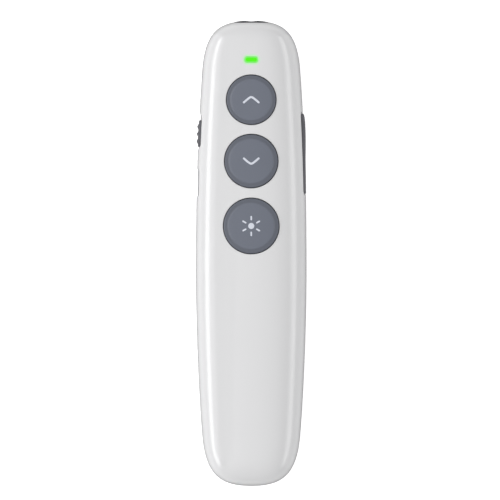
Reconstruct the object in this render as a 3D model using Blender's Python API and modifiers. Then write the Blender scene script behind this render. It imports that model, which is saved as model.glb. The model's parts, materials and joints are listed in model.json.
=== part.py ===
"""A hand-held wireless presenter with a laser pointer: a white two-part casing, three round keys,
a ribbed power slider, a side volume rocker, a laser module, a circuit board, a battery and a receiver
stowed in the underside. Metres, +Z up, +Y towards the laser end, origin at the centre of the base."""

import math

import bmesh
import bpy
import numpy as np
from mathutils import Vector

# Casing
BODY_LENGTH = 0.1299
BODY_WIDTH = 0.0309
SEAM_HEIGHT = 0.0110
CROWN_HEIGHT = 0.0086
WALL = 0.0016
SEAM_GAP = 0.00005
LIP_HEIGHT = 0.0009
LIP_THICKNESS = 0.0007
LIP_CLEARANCE = 0.0001
OVERRUN = 0.0030

# Outline points as shares: (share of half the length, share of half the width or of the height).
# Each row is one Bezier stretch, and runs from the laser end to the tail.
PLAN_SHARES = (
    ((1.0, 0.0), (1.0, 0.561), (0.962, 0.837), (0.7815, 0.888)),
    ((0.7815, 0.888), (0.512, 0.964), (0.293, 1.0), (-0.066, 1.0)),
    ((-0.066, 1.0), (-0.412, 1.0), (-0.747, 0.9055), (-0.8086, 0.874)),
    ((-0.8086, 0.874), (-0.9614, 0.796), (-1.0, 0.513), (-1.0, 0.0)),
)
CROWN_SHARES = (
    ((1.0, 0.0), (1.0, 0.50), (0.975, 0.905), (0.925, 0.945)),
    ((0.925, 0.945), (0.82, 1.024), (0.50, 1.0), (0.15, 1.0)),
    ((0.15, 1.0), (-0.30, 1.0), (-0.60, 0.945), (-0.86, 0.865)),
    ((-0.86, 0.865), (-0.967, 0.832), (-1.0, 0.56), (-1.0, 0.0)),
)
HULL_SHARES = (
    ((1.0, 0.0), (1.0, 0.40), (0.975, 0.70), (0.90, 0.775)),
    ((0.90, 0.775), (0.78, 0.895), (0.66, 1.0), (0.52, 1.0)),
    ((0.52, 1.0), (0.10, 1.0), (-0.40, 1.0), (-0.80, 1.0)),
    ((-0.80, 1.0), (-0.93, 1.0), (-1.0, 0.60), (-1.0, 0.0)),
)
FLAT_SHARE = 0.55
CROWN_POWER = 2.7
HULL_POWER = 2.2
STATIONS_PER_STRETCH = (8, 5, 5, 8)
CROWN_SEGMENTS = 16
HULL_SEGMENTS = 6
CURVE_SAMPLES = 200

# Laser window bezel at the nose
BEZEL_WIDTH = 0.0096
BEZEL_HEIGHT = 0.0062
BEZEL_PROUD = 0.0001
BEZEL_LEDGE = 0.0009
BEZEL_LEDGE_THICKNESS = 0.0008
BEZEL_CLEARANCE = 0.00015
BEZEL_LEDGE_GAP = 0.0009
APERTURE_FRONT_RADIUS = 0.0015
APERTURE_REAR_RADIUS = 0.0011
WINDOW_RADIUS = 0.0024
WINDOW_THICKNESS = 0.0007
WINDOW_SEAT_DEPTH = 0.0016
SEAT_CLEARANCE = 0.0001

# Laser module
BARREL_RADIUS = 0.00325
BARREL_LENGTH = 0.0072
BARREL_NOSE_BORE = 0.0017
BARREL_BORE = 0.0029
BARREL_SHOULDER = 0.0030
BARREL_SEAT = 0.0010
LENS_RADIUS = 0.0015
LENS_LENGTH = 0.0018
DIODE_FLANGE_RADIUS = 0.0028
DIODE_FLANGE_THICKNESS = 0.0012
DIODE_CAN_RADIUS = 0.0018
DIODE_CAN_LENGTH = 0.0022
DIODE_PIN_RADIUS = 0.00022
DIODE_PIN_LENGTH = 0.0020
DIODE_PIN_SPREAD = 0.00127

# Round keys: distance of each from the nose, and radius of its hole
KEY_SETBACKS = {"page_up": 0.0221, "page_down": 0.0392, "laser": 0.0573}
KEY_HOLE_RADII = {"page_up": 0.00705, "page_down": 0.00760, "laser": 0.00790}
KEY_CLEARANCE = 0.0002
KEY_RIM_PROUD = 0.00015
KEY_CENTRE_RISE = 0.0003
KEY_PLATEAU_SHARE = 0.80
KEY_SLOPE_SHARE = 0.885
KEY_EDGE_ROUND = 0.00025
KEY_FLANGE = 0.0009
KEY_FLANGE_THICKNESS = 0.0008
KEY_SEAT_GAP = 0.0003
KEY_SKIN = 0.0010
KEY_SKIRT = 0.0012
KEY_STEM_RADIUS = 0.0019
KEY_TRAVEL = 0.0004
KEY_SEGMENTS = 32

# Tactile switches under the round keys
SWITCH_SIDE = 0.0060
SWITCH_HEIGHT = 0.0035
SWITCH_BEVEL = 0.0003
PLUNGER_RADIUS = 0.00175
PLUNGER_CLEARANCE = 0.00005
PLUNGER_HEIGHT = 0.0015
PLUNGER_DEPTH = 0.0010
CONTACT_GAP = 0.00005

# Status light
LIGHT_SETBACK = 0.0109
LIGHT_WIDTH = 0.0037
LIGHT_LENGTH = 0.0016
LIGHT_ROUND = 0.0006
LIGHT_CLEARANCE = 0.0001
LIGHT_LEDGE = 0.0007
LIGHT_LEDGE_THICKNESS = 0.0008
LED_WIDTH = 0.0016
LED_LENGTH = 0.0008
LED_HEIGHT = 0.0007
LED_GAP = 0.0003

# Circuit board
BOARD_DROP = 0.0006
BOARD_THICKNESS = 0.0010
BOARD_SETBACK = 0.0101
BOARD_LENGTH = 0.0608
BOARD_CORNER = 0.0030
BOARD_EDGE_GAP = 0.0003
SOLDER_GAP = 0.00005
BOARD_SCREW_INSET_X = 0.0018
BOARD_SCREW_INSET_Y = 0.0050
BOARD_BOSS_RADIUS = 0.0015
BOARD_SCREW_RADIUS = 0.0008
BOARD_SCREW_LENGTH = 0.0040
SCREW_CLEARANCE = 0.00005
SCREW_HEAD_RATIO = 1.75
SCREW_HEAD_THICKNESS = 0.0009
BOSS_SEAT_GAP = 0.00005

# Chips in the board's middle: width, length, height, setback from the board's front
MIDDLE_CHIPS = {
    "radio_chip": (0.0050, 0.0050, 0.0009, 0.0382),
    "chip_antenna": (0.0070, 0.0020, 0.0012, 0.0586),
}
# Chips a gap behind the radio chip, each towards one side: side, width, length, height
CHIP_INSET = 0.0025
CHIP_GAP = 0.0005
SIDE_CHIPS = {
    "crystal": (1, 0.0032, 0.0025, 0.0008),
    "charge_chip": (-1, 0.0030, 0.0017, 0.0011),
}

# Side controls, all centred on one line just above the seam
SIDE_RISE = 0.0010
SLOT_CLEARANCE = 0.0002
SIDE_ROUND = 0.0009

# Power slider on the left side
KNOB_SETBACK = 0.0315
KNOB_LENGTH = 0.0075
KNOB_HEIGHT = 0.0040
KNOB_PROUD = 0.0006
KNOB_GROOVE_DEPTH = 0.0003
KNOB_GROOVE_WIDTH = 0.0008
KNOB_RIBS = 4
KNOB_TRAVEL = 0.0015
KNOB_FLANGE = 0.0008
KNOB_FLANGE_THICKNESS = 0.0008
KNOB_WALL_GAP = 0.0003
FORK_LENGTH = 0.0008
FORK_WIDTH = 0.0008
LEVER_SIDE = 0.0014
LEVER_DEPTH = 0.0010
LEVER_CLEARANCE = 0.0001
SLIDE_CASE_WIDTH = 0.0034
SLIDE_CASE_LENGTH = 0.0086
SLIDE_CASE_HEIGHT = 0.0032

# Volume rocker on the right side
ROCKER_SETBACK = 0.0371
ROCKER_LENGTH = 0.0224
ROCKER_HEIGHT = 0.0044
ROCKER_PROUD = 0.0002
ROCKER_TILT = math.radians(2.0)
ROCKER_FLANGE = 0.0009
ROCKER_FLANGE_RISE = 0.0004
ROCKER_FLANGE_THICKNESS = 0.0010
ROCKER_WALL_GAP = 0.0002
TRUNNION_RADIUS = 0.0007
TRUNNION_LENGTH = 0.0010
TRUNNION_CLEARANCE = 0.00005
BEARING_GAP = 0.0003
BEARING_SIDE = 0.0026
NUB_SPREAD = 0.0075
NUB_SIDE = 0.0016
NUB_LENGTH = 0.0004
SIDE_SWITCH_DEPTH = 0.0034
SIDE_SWITCH_LENGTH = 0.0047
SIDE_SWITCH_HEIGHT = 0.0034
SIDE_PLUNGER_RADIUS = 0.0008
SIDE_PLUNGER_STAND = 0.0007
SIDE_PLUNGER_DEPTH = 0.0008
SIDE_PLUNGER_ROOM = 0.0005
SIDE_CONTACT_GAP = 0.00008

# Charging socket on the left side, a spacing behind the slider
PORT_SPACING = 0.0138
PORT_WIDTH = 0.0072
PORT_HEIGHT = 0.0027
PORT_RECESS_WIDTH = 0.0076
PORT_RECESS_HEIGHT = 0.0040
PORT_RECESS_DEPTH = 0.00035
SOCKET_CLEARANCE = 0.0002
SOCKET_DEPTH = 0.0056
SOCKET_SHEET = 0.00025
SOCKET_INSET = 0.0007
TONGUE_THICKNESS = 0.0006
TONGUE_WIDTH = 0.0048
EAR_MARGIN = 0.0010
EAR_WALL_GAP = 0.0003

# Battery and its lead
BATTERY_LENGTH = 0.0350
BATTERY_WIDTH = 0.0180
BATTERY_THICKNESS = 0.0043
BATTERY_SETBACK = 0.0339
BATTERY_BEVEL = 0.0012
CELL_BOARD_WIDTH = 0.0140
CELL_BOARD_THICKNESS = 0.0008
CELL_BOARD_HEIGHT = 0.0030
TAPE_THICKNESS = 0.0005
TAPE_MARGIN = 0.0025
TRAY_RIB_THICKNESS = 0.0010
TRAY_RIB_WIDTH = 0.0130
TRAY_GAP = 0.0003
WIRE_RADIUS = 0.00045
WIRE_SPREAD = 0.0010
WIRE_POINTS = 14
WIRE_END_GAP = 0.0003
HEADER_SETBACK = 0.0229
HEADER_LENGTH = 0.0040
HEADER_WIDTH = 0.0050
HEADER_HEIGHT = 0.0030
PLUG_LENGTH = 0.0035
PLUG_WIDTH = 0.0044
PLUG_HEIGHT = 0.0024
PLUG_DEPTH = 0.0012
TENON_WIDTH = 0.0038

# Ribs that clamp the laser barrel
SADDLE_SETBACK = 0.0067
SADDLE_THICKNESS = 0.0012
SADDLE_WIDTH = 0.0090
SADDLE_CLEARANCE = 0.0001

# Receiver and its bay in the underside
GRIP_WIDTH = 0.0140
GRIP_LENGTH = 0.0070
GRIP_HEIGHT = 0.0058
GRIP_BEVEL = 0.0008
PLUG_SHELL_WIDTH = 0.0120
PLUG_SHELL_HEIGHT = 0.0045
PLUG_SHELL_LENGTH = 0.0125
PLUG_SHELL_SHEET = 0.0003
USB_TONGUE_THICKNESS = 0.0019
USB_TONGUE_INSET = 0.0010
BAY_SETBACK = 0.0155
BAY_CLEARANCE = 0.0003
BAY_RECESS = 0.0004
BAY_WALL = 0.0012
BAY_ROOF = 0.0024
NOTCH_RADIUS = 0.0045
NOTCH_REACH = 0.0030
NOTCH_DEPTH = 0.0016
NOTCH_SKIN = 0.0012
MAGNET_RADIUS = 0.0025
MAGNET_THICKNESS = 0.0015

# Screws that hold the two casings together, from inside the bay
CASE_SCREW_RADIUS = 0.0010
CASE_SCREW_LENGTH = 0.0060
CASE_SCREW_HEAD_SINK = 0.0003
CASE_BOSS_RADIUS = 0.0024
CASE_SCREW_MARGIN = 0.0035

PIN_SEGMENTS = 16
ROUND_SEGMENTS = 24
CORNER_SEGMENTS = 4

BODY_CENTRE = -BEZEL_PROUD / 2
BODY_HEIGHT = SEAM_HEIGHT + CROWN_HEIGHT
NOSE = BODY_CENTRE + BODY_LENGTH / 2
TAIL = BODY_CENTRE - BODY_LENGTH / 2
KEY_PLACES = {key: NOSE - setback for key, setback in KEY_SETBACKS.items()}
LIGHT_PLACE = NOSE - LIGHT_SETBACK
BOARD_FRONT = NOSE - BOARD_SETBACK
BOARD_REAR = BOARD_FRONT - BOARD_LENGTH
KNOB_PLACE = NOSE - KNOB_SETBACK
ROCKER_PLACE = NOSE - ROCKER_SETBACK
PORT_PLACE = KNOB_PLACE - PORT_SPACING
BATTERY_FRONT = NOSE - BATTERY_SETBACK
HEADER_PLACE = NOSE - HEADER_SETBACK
SADDLE_PLACE = NOSE - SADDLE_SETBACK
BAY_REAR = TAIL + BAY_SETBACK
BOARD_TOP = SEAM_HEIGHT - BOARD_DROP
BOARD_BOTTOM = BOARD_TOP - BOARD_THICKNESS
SIDE_HEIGHT = SEAM_HEIGHT + SIDE_RISE

ALONG_X = (math.pi / 2, 0.0, math.pi / 2)
ALONG_Y = (-math.pi / 2, 0.0, 0.0)
ALONG_Z = (0.0, 0.0, 0.0)


def bezier_path(shares, along, across, counts):
    """Points of the chained Bezier stretches, scaled from shares to metres."""
    points = []
    for corners, count in zip(shares, counts):
        a, b, c, d = (np.array([BODY_CENTRE + y * along, w * across]) for y, w in corners)
        t = np.linspace(0.0, 1.0, count + 1)[:, None]
        s = 1.0 - t
        stretch = s**3 * a + 3 * s**2 * t * b + 3 * s * t**2 * c + t**3 * d
        points.append(stretch if not points else stretch[1:])
    return np.vstack(points)


def moved_in(points, inset):
    """The open curve moved inwards by inset, square to itself. Its two ends move along Y alone."""
    slope = np.gradient(points, axis=0)
    slope[0], slope[-1] = (0.0, 1.0), (0.0, -1.0)
    slope /= np.linalg.norm(slope, axis=1)[:, None]
    outward = np.column_stack((slope[:, 1], -slope[:, 0]))
    return points - outward * inset


def curve_at(shares, across, inset, y):
    """Height of a profile, or half-width of the plan, at y, for the body moved in by inset."""
    dense = bezier_path(shares, BODY_LENGTH / 2, across, [CURVE_SAMPLES] * len(shares))
    dense = moved_in(dense, inset)[::-1]
    return np.interp(y, dense[:, 0], dense[:, 1])


def section_sizes(y, inset):
    """Half-width, crown height and hull depth of the cross-section at y."""
    return (
        curve_at(PLAN_SHARES, BODY_WIDTH / 2, inset, y),
        curve_at(CROWN_SHARES, CROWN_HEIGHT, inset, y),
        curve_at(HULL_SHARES, SEAM_HEIGHT, inset, y),
    )


def falling(share, power):
    """The superellipse arch: 1 at share 0, 0 at share 1."""
    return (1.0 - np.minimum(np.abs(share), 1.0) ** power) ** (1.0 / power)


def crown_at(x, y, inset=0.0):
    """Height of the crown above the base at (x, y)."""
    half, crown, _ = section_sizes(y, inset)
    return SEAM_HEIGHT + crown * falling(x / half, CROWN_POWER)


def hull_at(y, inset=0.0):
    """Height of the underside's flat strip above the base at y."""
    return SEAM_HEIGHT - section_sizes(y, inset)[2]


def side_at(y, z, inset=0.0):
    """Half-width of the body at y and height z."""
    half, crown, hull = section_sizes(y, inset)
    if z >= SEAM_HEIGHT:
        return half * falling((z - SEAM_HEIGHT) / crown, CROWN_POWER)
    flat = half * FLAT_SHARE
    return flat + (half - flat) * falling((SEAM_HEIGHT - z) / hull, HULL_POWER)


def section_ring(half, y, crown, hull):
    """One closed cross-section: over the crown from right to left, then back under the hull."""
    up = np.linspace(0.0, math.pi, CROWN_SEGMENTS + 1)
    c, s = np.cos(up), np.sin(up)
    top_x = half * np.sign(c) * np.abs(c) ** (2 / CROWN_POWER)
    top_z = SEAM_HEIGHT + crown * np.abs(s) ** (2 / CROWN_POWER)
    down = np.linspace(0.0, math.pi / 2, HULL_SEGMENTS + 1)[1:]
    flat = half * FLAT_SHARE
    low_x = flat + (half - flat) * np.abs(np.cos(down)) ** (2 / HULL_POWER)
    low_z = SEAM_HEIGHT - hull * np.sin(down) ** (2 / HULL_POWER)
    top_z[0] = top_z[-1] = SEAM_HEIGHT
    x = np.concatenate((top_x, -low_x, low_x[::-1]))
    z = np.concatenate((top_z, low_z, low_z[::-1]))
    return np.column_stack((x, np.full_like(x, y), z))


def body_mesh(inset):
    """The whole body as one closed loft of cross-sections, moved in by inset."""
    plan = bezier_path(PLAN_SHARES, BODY_LENGTH / 2, BODY_WIDTH / 2, STATIONS_PER_STRETCH)
    plan = moved_in(plan, inset)
    tip, tail = plan[0], plan[-1]
    mesh = bmesh.new()
    rings = []
    for y, half in plan[1:-1]:
        _, crown, hull = section_sizes(y, inset)
        rings.append([mesh.verts.new(p) for p in section_ring(half, y, crown, hull)])
    front = mesh.verts.new((0.0, tip[0], SEAM_HEIGHT))
    back = mesh.verts.new((0.0, tail[0], SEAM_HEIGHT))
    count = len(rings[0])
    for i in range(count):
        j = (i + 1) % count
        mesh.faces.new((front, rings[0][i], rings[0][j]))
        mesh.faces.new((back, rings[-1][j], rings[-1][i]))
        for near, far in zip(rings, rings[1:]):
            mesh.faces.new((near[i], far[i], far[j], near[j]))
    bmesh.ops.triangulate(mesh, faces=mesh.faces)
    bmesh.ops.recalc_face_normals(mesh, faces=mesh.faces)
    data = bpy.data.meshes.new("body")
    mesh.to_mesh(data)
    mesh.free()
    return data


def clear_scene():
    for obj in list(bpy.data.objects):
        bpy.data.objects.remove(obj)


def collection(name):
    made = bpy.data.collections.new(name)
    bpy.context.scene.collection.children.link(made)
    return made


def material(name, colour, roughness, metallic=0.0):
    """A Principled material with one colour."""
    made = bpy.data.materials.new(name)
    made.use_nodes = True
    shader = made.node_tree.nodes["Principled BSDF"]
    shader.inputs["Base Color"].default_value = (*colour, 1.0)
    shader.inputs["Roughness"].default_value = roughness
    shader.inputs["Metallic"].default_value = metallic
    return made


def take(obj, name, group, finish=None):
    """Names an object, moves it to its collection and gives it its material."""
    for old in list(obj.users_collection):
        old.objects.unlink(obj)
    group.objects.link(obj)
    obj.name = name
    if finish:
        obj.data.materials.clear()
        obj.data.materials.append(finish)
    if group is CUTTERS:
        obj.hide_render = True
        obj.display_type = "WIRE"
    return obj


def from_mesh(name, data, group, finish=None, place=(0.0, 0.0, 0.0)):
    obj = bpy.data.objects.new(name, data)
    bpy.context.scene.collection.objects.link(obj)
    obj.location = place
    return take(obj, name, group, finish)


def box(name, size, place, group, finish=None, bevel=0.0):
    """A block of the given size centred on its place, with rounded edges where bevel is set."""
    bpy.ops.mesh.primitive_cube_add(size=1, location=place)
    obj = bpy.context.object
    obj.data.transform(((size[0], 0, 0, 0), (0, size[1], 0, 0), (0, 0, size[2], 0), (0, 0, 0, 1)))
    take(obj, name, group, finish)
    if bevel:
        rounding = obj.modifiers.new("edges", "BEVEL")
        rounding.width = bevel
        rounding.segments = 2
    return obj


def cylinder(name, radius, length, place, turn, group, finish=None, segments=PIN_SEGMENTS, tip=None):
    """A cylinder, or a cone where tip gives its far radius, centred on its place."""
    bpy.ops.mesh.primitive_cone_add(
        vertices=segments,
        radius1=radius,
        radius2=radius if tip is None else tip,
        depth=length,
        location=place,
        rotation=turn,
    )
    return take(bpy.context.object, name, group, finish)


def meshed(obj):
    """A mesh copy of the evaluated curve or modified object, with its caps welded; the first is removed."""
    graph = bpy.context.evaluated_depsgraph_get()
    data = bpy.data.meshes.new_from_object(obj.evaluated_get(graph))
    mesh = bmesh.new()
    mesh.from_mesh(data)
    bmesh.ops.remove_doubles(mesh, verts=mesh.verts, dist=WELD)
    mesh.to_mesh(data)
    mesh.free()
    matrix = obj.matrix_world.copy()
    bpy.data.objects.remove(obj)
    made = bpy.data.objects.new(data.name, data)
    bpy.context.scene.collection.objects.link(made)
    made.matrix_world = matrix
    return made


def rounded_plate(name, width, length, thickness, corner, place, turn, group, finish=None):
    """A flat plate with rounded corners: a filled outline in X and Y, thick along Z, then turned."""
    corner = min(corner, width / 2, length / 2)
    outline = bpy.data.curves.new(name, "CURVE")
    outline.dimensions = "2D"
    outline.fill_mode = "BOTH"
    outline.extrude = thickness / 2
    points = []
    for k, (sx, sy) in enumerate(((1, 1), (-1, 1), (-1, -1), (1, -1))):
        middle = (sx * (width / 2 - corner), sy * (length / 2 - corner))
        for i in range(CORNER_SEGMENTS + 1):
            angle = (k + i / CORNER_SEGMENTS) * math.pi / 2
            points.append((middle[0] + corner * math.cos(angle), middle[1] + corner * math.sin(angle)))
    spline = outline.splines.new("POLY")
    spline.points.add(len(points) - 1)
    for point, (x, y) in zip(spline.points, points):
        point.co = (x, y, 0.0, 1.0)
    spline.use_cyclic_u = True
    obj = bpy.data.objects.new(name, outline)
    bpy.context.scene.collection.objects.link(obj)
    obj.location = place
    obj.rotation_euler = turn
    bpy.context.view_layer.update()
    return take(meshed(obj), name, group, finish)


def turned(name, profile, place, turn, group, finish=None, segments=ROUND_SEGMENTS):
    """A turned solid: a profile of (radius, height) points, outer side from top to bottom, spun round Z."""
    mesh = bmesh.new()
    verts = [mesh.verts.new((r, 0.0, z)) for r, z in profile]
    for a, b in zip(verts, verts[1:]):
        mesh.edges.new((a, b))
    data = bpy.data.meshes.new(name)
    mesh.to_mesh(data)
    mesh.free()
    obj = from_mesh(name, data, group, finish, place)
    obj.rotation_euler = turn
    spin = obj.modifiers.new("spin", "SCREW")
    spin.steps = spin.render_steps = segments
    spin.use_merge_vertices = True
    spin.merge_threshold = WELD
    return obj


def boolean(obj, other, operation):
    step = obj.modifiers.new(f"{operation.lower()} {other.name}", "BOOLEAN")
    step.operation = operation
    step.object = other
    step.solver = "EXACT"
    return obj


def cut(obj, *others):
    for other in others:
        boolean(obj, other, "DIFFERENCE")
    return obj


def join(obj, *others):
    for other in others:
        boolean(obj, other, "UNION")
    return obj


def keep(obj, *others):
    for other in others:
        boolean(obj, other, "INTERSECT")
    return obj


def smooth(obj, angle=math.radians(35)):
    """Rounded faces shade smooth, and sharp corners stay sharp."""
    if obj.type == "MESH":
        obj.data.shade_smooth()
        obj.data.set_sharp_from_angle(angle=angle)
    return obj


WELD = 0.000002

clear_scene()
PARTS = collection("laser_presenter")
CUTTERS = collection("cutters")

WHITE_GLOSS = material("white gloss ABS", (0.80, 0.80, 0.81), 0.18)
GREY_KEY = material("slate grey key plastic", (0.17, 0.19, 0.225), 0.45)
DARK_KEY = material("dark grey side key plastic", (0.075, 0.075, 0.080), 0.45)
SMOKED = material("smoked window plastic", (0.05, 0.05, 0.055), 0.15)
CLEAR = material("clear acrylic", (0.85, 0.88, 0.90), 0.05)
GREEN_GLOW = material("green light guide", (0.09, 0.95, 0.03), 0.25)
BRASS = material("turned brass", (0.72, 0.53, 0.22), 0.30, 1.0)
STEEL = material("plated steel", (0.62, 0.62, 0.63), 0.30, 1.0)
BOARD_GREEN = material("green circuit board", (0.02, 0.16, 0.07), 0.45)
BLACK_PLASTIC = material("black moulded plastic", (0.02, 0.02, 0.02), 0.50)
FOIL = material("battery pouch foil", (0.66, 0.67, 0.68), 0.35, 0.9)
FOAM = material("white foam tape", (0.75, 0.75, 0.72), 0.90)
CREAM = material("cream connector nylon", (0.80, 0.76, 0.66), 0.55)
RED_LEAD = material("red silicone lead", (0.55, 0.03, 0.02), 0.50)
BLACK_LEAD = material("black silicone lead", (0.02, 0.02, 0.02), 0.50)
CERAMIC = material("chip ceramic", (0.55, 0.62, 0.66), 0.50)


def half_space(name, low, high):
    """A block wider than the body, from height low to high."""
    reach = BODY_LENGTH + OVERRUN
    size = (reach, reach, high - low)
    return box(name, size, (0.0, 0.0, (low + high) / 2), CUTTERS)


def board_places():
    """The four board screws, from the board's own edges."""
    across = board_half() - BOARD_SCREW_INSET_X
    ends = (BOARD_FRONT - BOARD_SCREW_INSET_Y, BOARD_REAR + BOARD_SCREW_INSET_Y)
    return [(side * across, y) for y in ends for side in (-1, 1)]


def rocker_flange_face():
    """Outer face of the rocker's flange: as far out as its tilting corners allow."""
    reach = ROCKER_LENGTH / 2 + ROCKER_FLANGE
    high = SIDE_HEIGHT + ROCKER_HEIGHT / 2 + ROCKER_FLANGE_RISE
    inner = min(side_at(ROCKER_PLACE + reach, high, WALL), side_at(ROCKER_PLACE - reach, high, WALL))
    return inner - reach * math.tan(ROCKER_TILT) - ROCKER_WALL_GAP


def rocker_axis():
    """Place across the body of the rocker's pivot, in the middle of its flange."""
    return rocker_flange_face() - ROCKER_FLANGE_THICKNESS / 2


def knob_flange_face():
    """Outer face of the slider's flange: clear of the wall at both ends of its travel."""
    reach = KNOB_LENGTH / 2 + KNOB_TRAVEL + KNOB_FLANGE
    high = SIDE_HEIGHT + KNOB_HEIGHT / 2 + KNOB_FLANGE
    places = (KNOB_PLACE - reach, KNOB_PLACE + reach + KNOB_TRAVEL)
    return min(side_at(y, high, WALL) for y in places) - KNOB_WALL_GAP


def board_half():
    """Half-width of the board: clear of the rocker's flange when it tilts."""
    reach = ROCKER_LENGTH / 2 + ROCKER_FLANGE
    inner = rocker_flange_face() - ROCKER_FLANGE_THICKNESS
    return inner - reach * math.tan(ROCKER_TILT) - BOARD_EDGE_GAP


def bay_size():
    """Width, length and depth of the receiver's pocket."""
    width = GRIP_WIDTH + 2 * BAY_CLEARANCE
    length = GRIP_LENGTH + PLUG_SHELL_LENGTH + 2 * BAY_CLEARANCE
    depth = BAY_RECESS + GRIP_HEIGHT + BAY_CLEARANCE
    return width, length, depth


def case_screw_places():
    """The two casing screws, near the two ends of the bay."""
    length = bay_size()[1]
    return (BAY_REAR + CASE_SCREW_MARGIN, BAY_REAR + length - CASE_SCREW_MARGIN)


def make_casings():
    """The upper and lower casing, cut from the same body."""
    cavity = from_mesh("cavity", body_mesh(WALL), CUTTERS)
    upper = half_space("above_seam", SEAM_HEIGHT + SEAM_GAP, BODY_HEIGHT + OVERRUN)
    lower = half_space("below_seam", -OVERRUN, SEAM_HEIGHT)
    lip_band = half_space("lip_band", SEAM_HEIGHT - OVERRUN, SEAM_HEIGHT + LIP_HEIGHT)
    lip_core = from_mesh("lip_core", body_mesh(WALL - LIP_THICKNESS), CUTTERS)
    keep(lip_core, lip_band)
    rebate_band = half_space("rebate_band", SEAM_HEIGHT - OVERRUN, SEAM_HEIGHT + LIP_HEIGHT + LIP_CLEARANCE)
    rebate = from_mesh("rebate", body_mesh(WALL - LIP_THICKNESS - LIP_CLEARANCE), CUTTERS)
    keep(rebate, rebate_band)

    top = from_mesh("top_shell", body_mesh(0.0), PARTS, WHITE_GLOSS)
    keep(cut(top, cavity), upper)
    cut(top, rebate)
    bottom = from_mesh("bottom_shell", body_mesh(0.0), PARTS, WHITE_GLOSS)
    join(keep(bottom, lower), lip_core)
    cut(bottom, cavity)
    return top, bottom


def cut_key_holes(top):
    for key, y in KEY_PLACES.items():
        hole = cylinder(
            f"{key}_hole",
            KEY_HOLE_RADII[key],
            CROWN_HEIGHT + OVERRUN,
            (0.0, y, SEAM_HEIGHT + (CROWN_HEIGHT + OVERRUN) / 2 + SWITCH_HEIGHT),
            ALONG_Z,
            CUTTERS,
            segments=KEY_SEGMENTS,
        )
        cut(top, hole)


def cut_light_slot(top):
    slot = rounded_plate(
        "light_slot",
        LIGHT_WIDTH + 2 * LIGHT_CLEARANCE,
        LIGHT_LENGTH + 2 * LIGHT_CLEARANCE,
        CROWN_HEIGHT,
        LIGHT_ROUND + LIGHT_CLEARANCE,
        (0.0, LIGHT_PLACE, crown_at(0.0, LIGHT_PLACE)),
        ALONG_Z,
        CUTTERS,
    )
    cut(top, slot)


def side_plate(name, side, y, z, length, height, inner, outer, corner, group, finish=None):
    """A rounded plate that stands square to the body's side, between two distances from the middle."""
    place = (side * (inner + outer) / 2, y, z)
    return rounded_plate(name, length, height, outer - inner, corner, place, ALONG_X, group, finish)


def cut_side_openings(top, bottom):
    """The slots of the slider, the rocker and the charging socket, across the seam."""
    wide = BODY_WIDTH / 2 + OVERRUN
    knob_slot = side_plate(
        "knob_slot",
        -1,
        KNOB_PLACE + KNOB_TRAVEL / 2,
        SIDE_HEIGHT,
        KNOB_LENGTH + KNOB_TRAVEL + 2 * SLOT_CLEARANCE,
        KNOB_HEIGHT + 2 * SLOT_CLEARANCE,
        knob_flange_face() - OVERRUN / 2,
        wide,
        SIDE_ROUND + SLOT_CLEARANCE,
        CUTTERS,
    )
    rocker_slot = side_plate(
        "rocker_slot",
        1,
        ROCKER_PLACE,
        SIDE_HEIGHT,
        ROCKER_LENGTH + 2 * SLOT_CLEARANCE,
        ROCKER_HEIGHT + 2 * SLOT_CLEARANCE,
        rocker_axis(),
        wide,
        SIDE_ROUND + SLOT_CLEARANCE,
        CUTTERS,
    )
    height = port_height()
    port = side_plate(
        "port", -1, PORT_PLACE, height, PORT_WIDTH, PORT_HEIGHT,
        board_half() - OVERRUN / 2, wide, PORT_HEIGHT / 2, CUTTERS,
    )
    recess_floor = side_at(PORT_PLACE, height + PORT_RECESS_HEIGHT / 2) - PORT_RECESS_DEPTH
    recess = side_plate(
        "port_recess", -1, PORT_PLACE, height, PORT_RECESS_WIDTH, PORT_RECESS_HEIGHT,
        recess_floor, wide, PORT_RECESS_HEIGHT / 2, CUTTERS,
    )
    for shell in (top, bottom):
        cut(shell, port, recess)
        cut(shell, knob_slot)
        cut(shell, rocker_slot)


def cut_nose(top, bottom):
    """The opening for the laser window's bezel."""
    opening = rounded_plate(
        "nose_opening",
        BEZEL_WIDTH + 2 * BEZEL_CLEARANCE,
        BEZEL_HEIGHT + 2 * BEZEL_CLEARANCE,
        2 * (WALL + OVERRUN),
        BEZEL_HEIGHT / 2 + BEZEL_CLEARANCE,
        (0.0, NOSE, SEAM_HEIGHT),
        ALONG_Y,
        CUTTERS,
    )
    for shell in (top, bottom):
        cut(shell, opening)


def add_board_bosses(top):
    """Four posts that hang from the crown, with a blind hole for each board screw."""
    for k, (x, y) in enumerate(board_places(), 1):
        low = BOARD_TOP + BOSS_SEAT_GAP
        high = crown_at(x, y) - WALL / 2
        post = cylinder(
            f"board_boss_{k}", BOARD_BOSS_RADIUS, high - low, (x, y, (low + high) / 2), ALONG_Z, CUTTERS
        )
        pilot_top = BOARD_BOTTOM + BOARD_SCREW_LENGTH + SCREW_CLEARANCE
        pilot = cylinder(
            f"board_pilot_{k}",
            BOARD_SCREW_RADIUS + SCREW_CLEARANCE,
            pilot_top - low + OVERRUN,
            (x, y, (pilot_top + low - OVERRUN) / 2),
            ALONG_Z,
            CUTTERS,
        )
        cut(join(top, post), pilot)


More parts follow.
